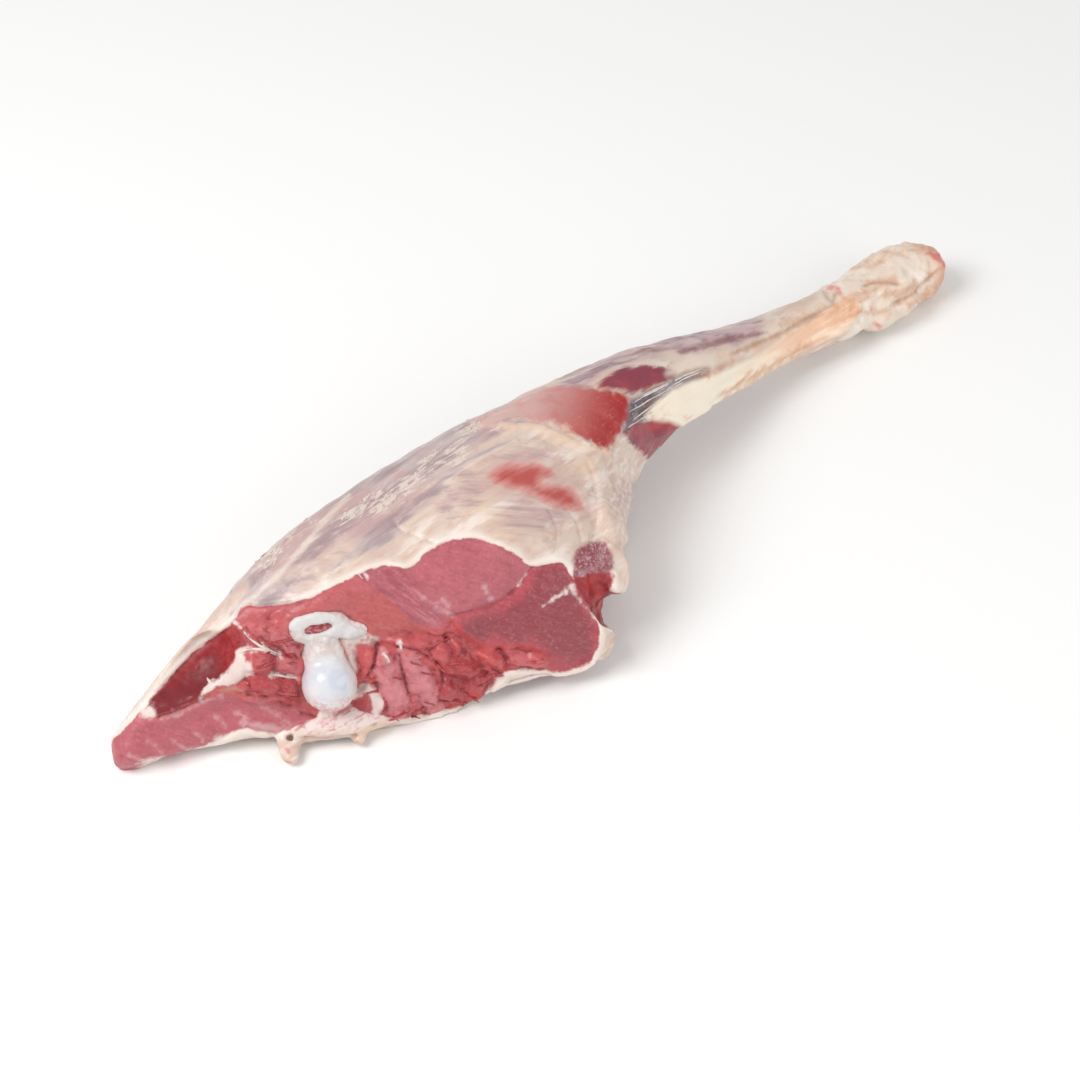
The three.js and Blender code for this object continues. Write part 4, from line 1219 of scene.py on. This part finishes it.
strand_values = {"Step": STRAND_STEP, "Wander": 0.7 * MM, "Finish": sinew}
sinews = grown("sinew_strands", line_mesh, strands, strand_values)
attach(sinews, "root")
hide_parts("leg_meat")

# ---- the femur -----------------------------------------------------------
# The thigh bone's top end: a ball under bluish cartilage, a neck wrapped in
# gristle, and the sawn trochanter, whose ring of dense bone stands round the
# marrow, with a band of white sinew running on to its right.

FEMUR_VOXEL = 0.0006
BALL_MIDDLE = (328, 681)
BALL_PIXELS = 26
BONE_SMOOTH_ALL = 22
BONE_SMOOTH_NECK = 70
BONE_SKIN = 0.2
RING_RISE = 0.5
ROUGH_RISE = 0.5
FOOT_RISE = 0.5
SPUR_SLIM = 1.8
SPUR_PIXELS = (342, 368)
BONE_OUTLINES = {
    "ring": [
        (284, 621), (290, 613), (312, 610), (330, 614), (340, 620), (352, 626), (368, 632), (379, 638),
        (372, 645), (356, 640), (340, 636), (318, 635), (300, 632), (290, 629),
    ],
    "foot": [(300, 702), (312, 697), (330, 700), (348, 696), (352, 716), (300, 718)],
}
CARTILAGE = "#D8DAE0"
CARTILAGE_BLUE = "#C0C6D6"
CARTILAGE_WARM = "#E2DDDC"
BONE = "#D9D6D5"
GRISTLE = "#DAD3CE"
GRISTLE_WHITE = "#E2DFDD"
GRISTLE_PINK = "#D99A9A"
GRISTLE_TAN = "#BFA79A"
FOOT_PINK = "#DFA5AA"

femur = merged_copy("femur", "femur_bone")
remesh(femur, FEMUR_VOXEL)
points = mesh_array(femur.data.vertices, "co", 3)
edges = mesh_array(femur.data.edges, "vertices", 2, np.int32)
points = relaxed(points, edges, 0.5 * np.ones(len(points)), BONE_SMOOTH_ALL)
bone_pixels = pixels_of(points)
ball = (BALL_PIXELS - np.linalg.norm(bone_pixels - BALL_MIDDLE, axis=1)) * MM_PER_PIXEL
ring = mm_from(bone_pixels, smooth_path(BONE_OUTLINES["ring"], closed=True), inside=True)
soften = (1 - eased(ring, -1.5, 0.5)) * (1 - eased(ball, -3, 2))
points = relaxed(points, edges, 0.5 * soften, BONE_SMOOTH_NECK)
set_points(femur.data, points)
normals = mesh_array(femur.data.vertices, "normal", 3)
bone_pixels = pixels_of(points)
ball = (BALL_PIXELS - np.linalg.norm(bone_pixels - BALL_MIDDLE, axis=1)) * MM_PER_PIXEL
bone_paths = [smooth_path(outline, closed=True) for outline in BONE_OUTLINES.values()]
ring, foot = (mm_from(bone_pixels, path, inside=True) for path in bone_paths)
rough_here = 1 - eased(ball, -2, 2)
height = BONE_SKIN + rough_here * (0.5 * lumps(points, 5, 2.5, 3) + 0.25 * lumps(points, 1.8, 6.5, 2))
height += RING_RISE * eased(ring, -0.6, 0.6) + ROUGH_RISE * rough_here
height -= SPUR_SLIM * eased(bone_pixels[:, 0], *SPUR_PIXELS) * eased(ring, -4, 0)
height += FOOT_RISE * eased(foot, -0.5, 1.5) * (0.5 + lumps(points, 2.5, 4.4, 3))
points = points + normals * height[:, None] * MM
points = np.clip(points, low, high)
set_points(femur.data, points)
for name, values in (("ball", ball), ("ring", ring), ("foot", foot)):
    keep_field(femur.data, name, values)

# Wet bone and cartilage: smooth and bluish on the ball, dull cream and pink
# where sinew was cut away, with small pores in the sawn ring.
wet_bone, tree, place = new_material("wet_bone")
edge = pattern(3.0, seed=1.0, detail=4.0)
blotch = pattern(7, seed=9.0)
mottle = pattern(3.2, seed=5.0, detail=4.0)
speck = pattern(0.9, seed=2.0)
bone = lay(GRISTLE, GRISTLE_WHITE, mottle, 0.46, 0.58)
bone = lay(bone, GRISTLE_PINK, edge, 0.56, 0.74, 0.25)
bone = lay(bone, GRISTLE_TAN, blotch, 0.54, 0.68, 0.4)
bone = lay(bone, BONE, tissue("ring", 1.2, edge), -0.8, 1.0)
bone = lay(bone, GRISTLE_PINK, tissue("ring", 5.0, mottle), 0.4, -2.4, 0.12)
cartilage = lay(CARTILAGE, CARTILAGE_BLUE, blotch, 0.44, 0.70, 0.6)
cartilage = lay(cartilage, CARTILAGE_WARM, blotch, 0.50, 0.30, 0.8)
ball_mm = tissue("ball", 1.5, edge)
bone = lay(bone, cartilage, ball_mm, -2.0, 3.4)
pink_foot = lay(FOOT_PINK, GRISTLE_WHITE, mottle, 0.42, 0.60)
bone = lay(bone, pink_foot, tissue("foot", 4.0, mottle), -2.0, 4.0, 0.8)
shine = {"Value": ball_mm, "From Min": -1.0, "From Max": 2.6, "To Min": 0.42, "To Max": 0.2}
wet = add_node(tree, "ShaderNodeMapRange", shine)
fade = {"Value": ball_mm, "From Min": -1.0, "From Max": 2.6, "To Min": 0.6, "To Max": 0.04}
dull = add_node(tree, "ShaderNodeMapRange", fade)
relief = {"Height": mottle, "Strength": dull.outputs[0], "Distance": 0.6 * MM}
bump = add_node(tree, "ShaderNodeBump", relief)
relief = {"Height": speck, "Normal": bump.outputs[0], "Strength": dull.outputs[0], "Distance": 0.3 * MM}
bump = add_node(tree, "ShaderNodeBump", relief)
surface = {
    "Base Color": bone,
    "Roughness": wet.outputs[0],
    "Normal": bump.outputs[0],
    "IOR": 1.45,
    "Subsurface Weight": 0.25,
    "Subsurface Radius": (1.0, 0.8, 0.7),
    "Subsurface Scale": 0.002,
}
close_material(tree, surface)
femur.data.materials.clear()
femur.data.materials.append(wet_bone)

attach(femur, "root")
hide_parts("femur")

# ---- the marrow ----------------------------------------------------------
# The soft dark red core of the bone, left a little below the sawn ring and
# uneven where the saw dragged it.

MARROW_VOXEL = 0.0005
MARROW_ROUGH = 0.35
MARROW_RED = "#90303C"
MARROW_PALE = "#CB7C80"

marrow = merged_copy("marrow", "marrow_core")
remesh(marrow, MARROW_VOXEL)
points = mesh_array(marrow.data.vertices, "co", 3)
normals = mesh_array(marrow.data.vertices, "normal", 3)
points = points + normals * (MARROW_ROUGH * lumps(points, 2.4, 3.3, 3))[:, None] * MM
set_points(marrow.data, points)

# Raw marrow: soft, wet and dark red, with pale threads of fat.
raw_marrow, tree, place = new_material("raw_marrow")
threads = pattern(1.2, (2, 1, 1), 2.0)
core = lay(MARROW_RED, MARROW_PALE, threads, 0.40, 0.64)
bump = add_node(tree, "ShaderNodeBump", {"Height": threads, "Strength": 0.5, "Distance": 0.3 * MM})
surface = {
    "Base Color": core,
    "Roughness": 0.35,
    "Normal": bump.outputs[0],
    "Subsurface Weight": 0.2,
    "Subsurface Radius": (1.0, 0.3, 0.2),
    "Subsurface Scale": 0.002,
}
close_material(tree, surface)
marrow.data.materials.clear()
marrow.data.materials.append(raw_marrow)

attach(marrow, "root")
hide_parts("marrow")

# ---- the sizes -----------------------------------------------------------
# The box round the solids and the box round all that is modelled here, in
# metres, kept side by side.

sizes = {
    "cad_box": [list(corner) for corner in cad_box],
    "visual_box": [list(corner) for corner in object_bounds()],
}
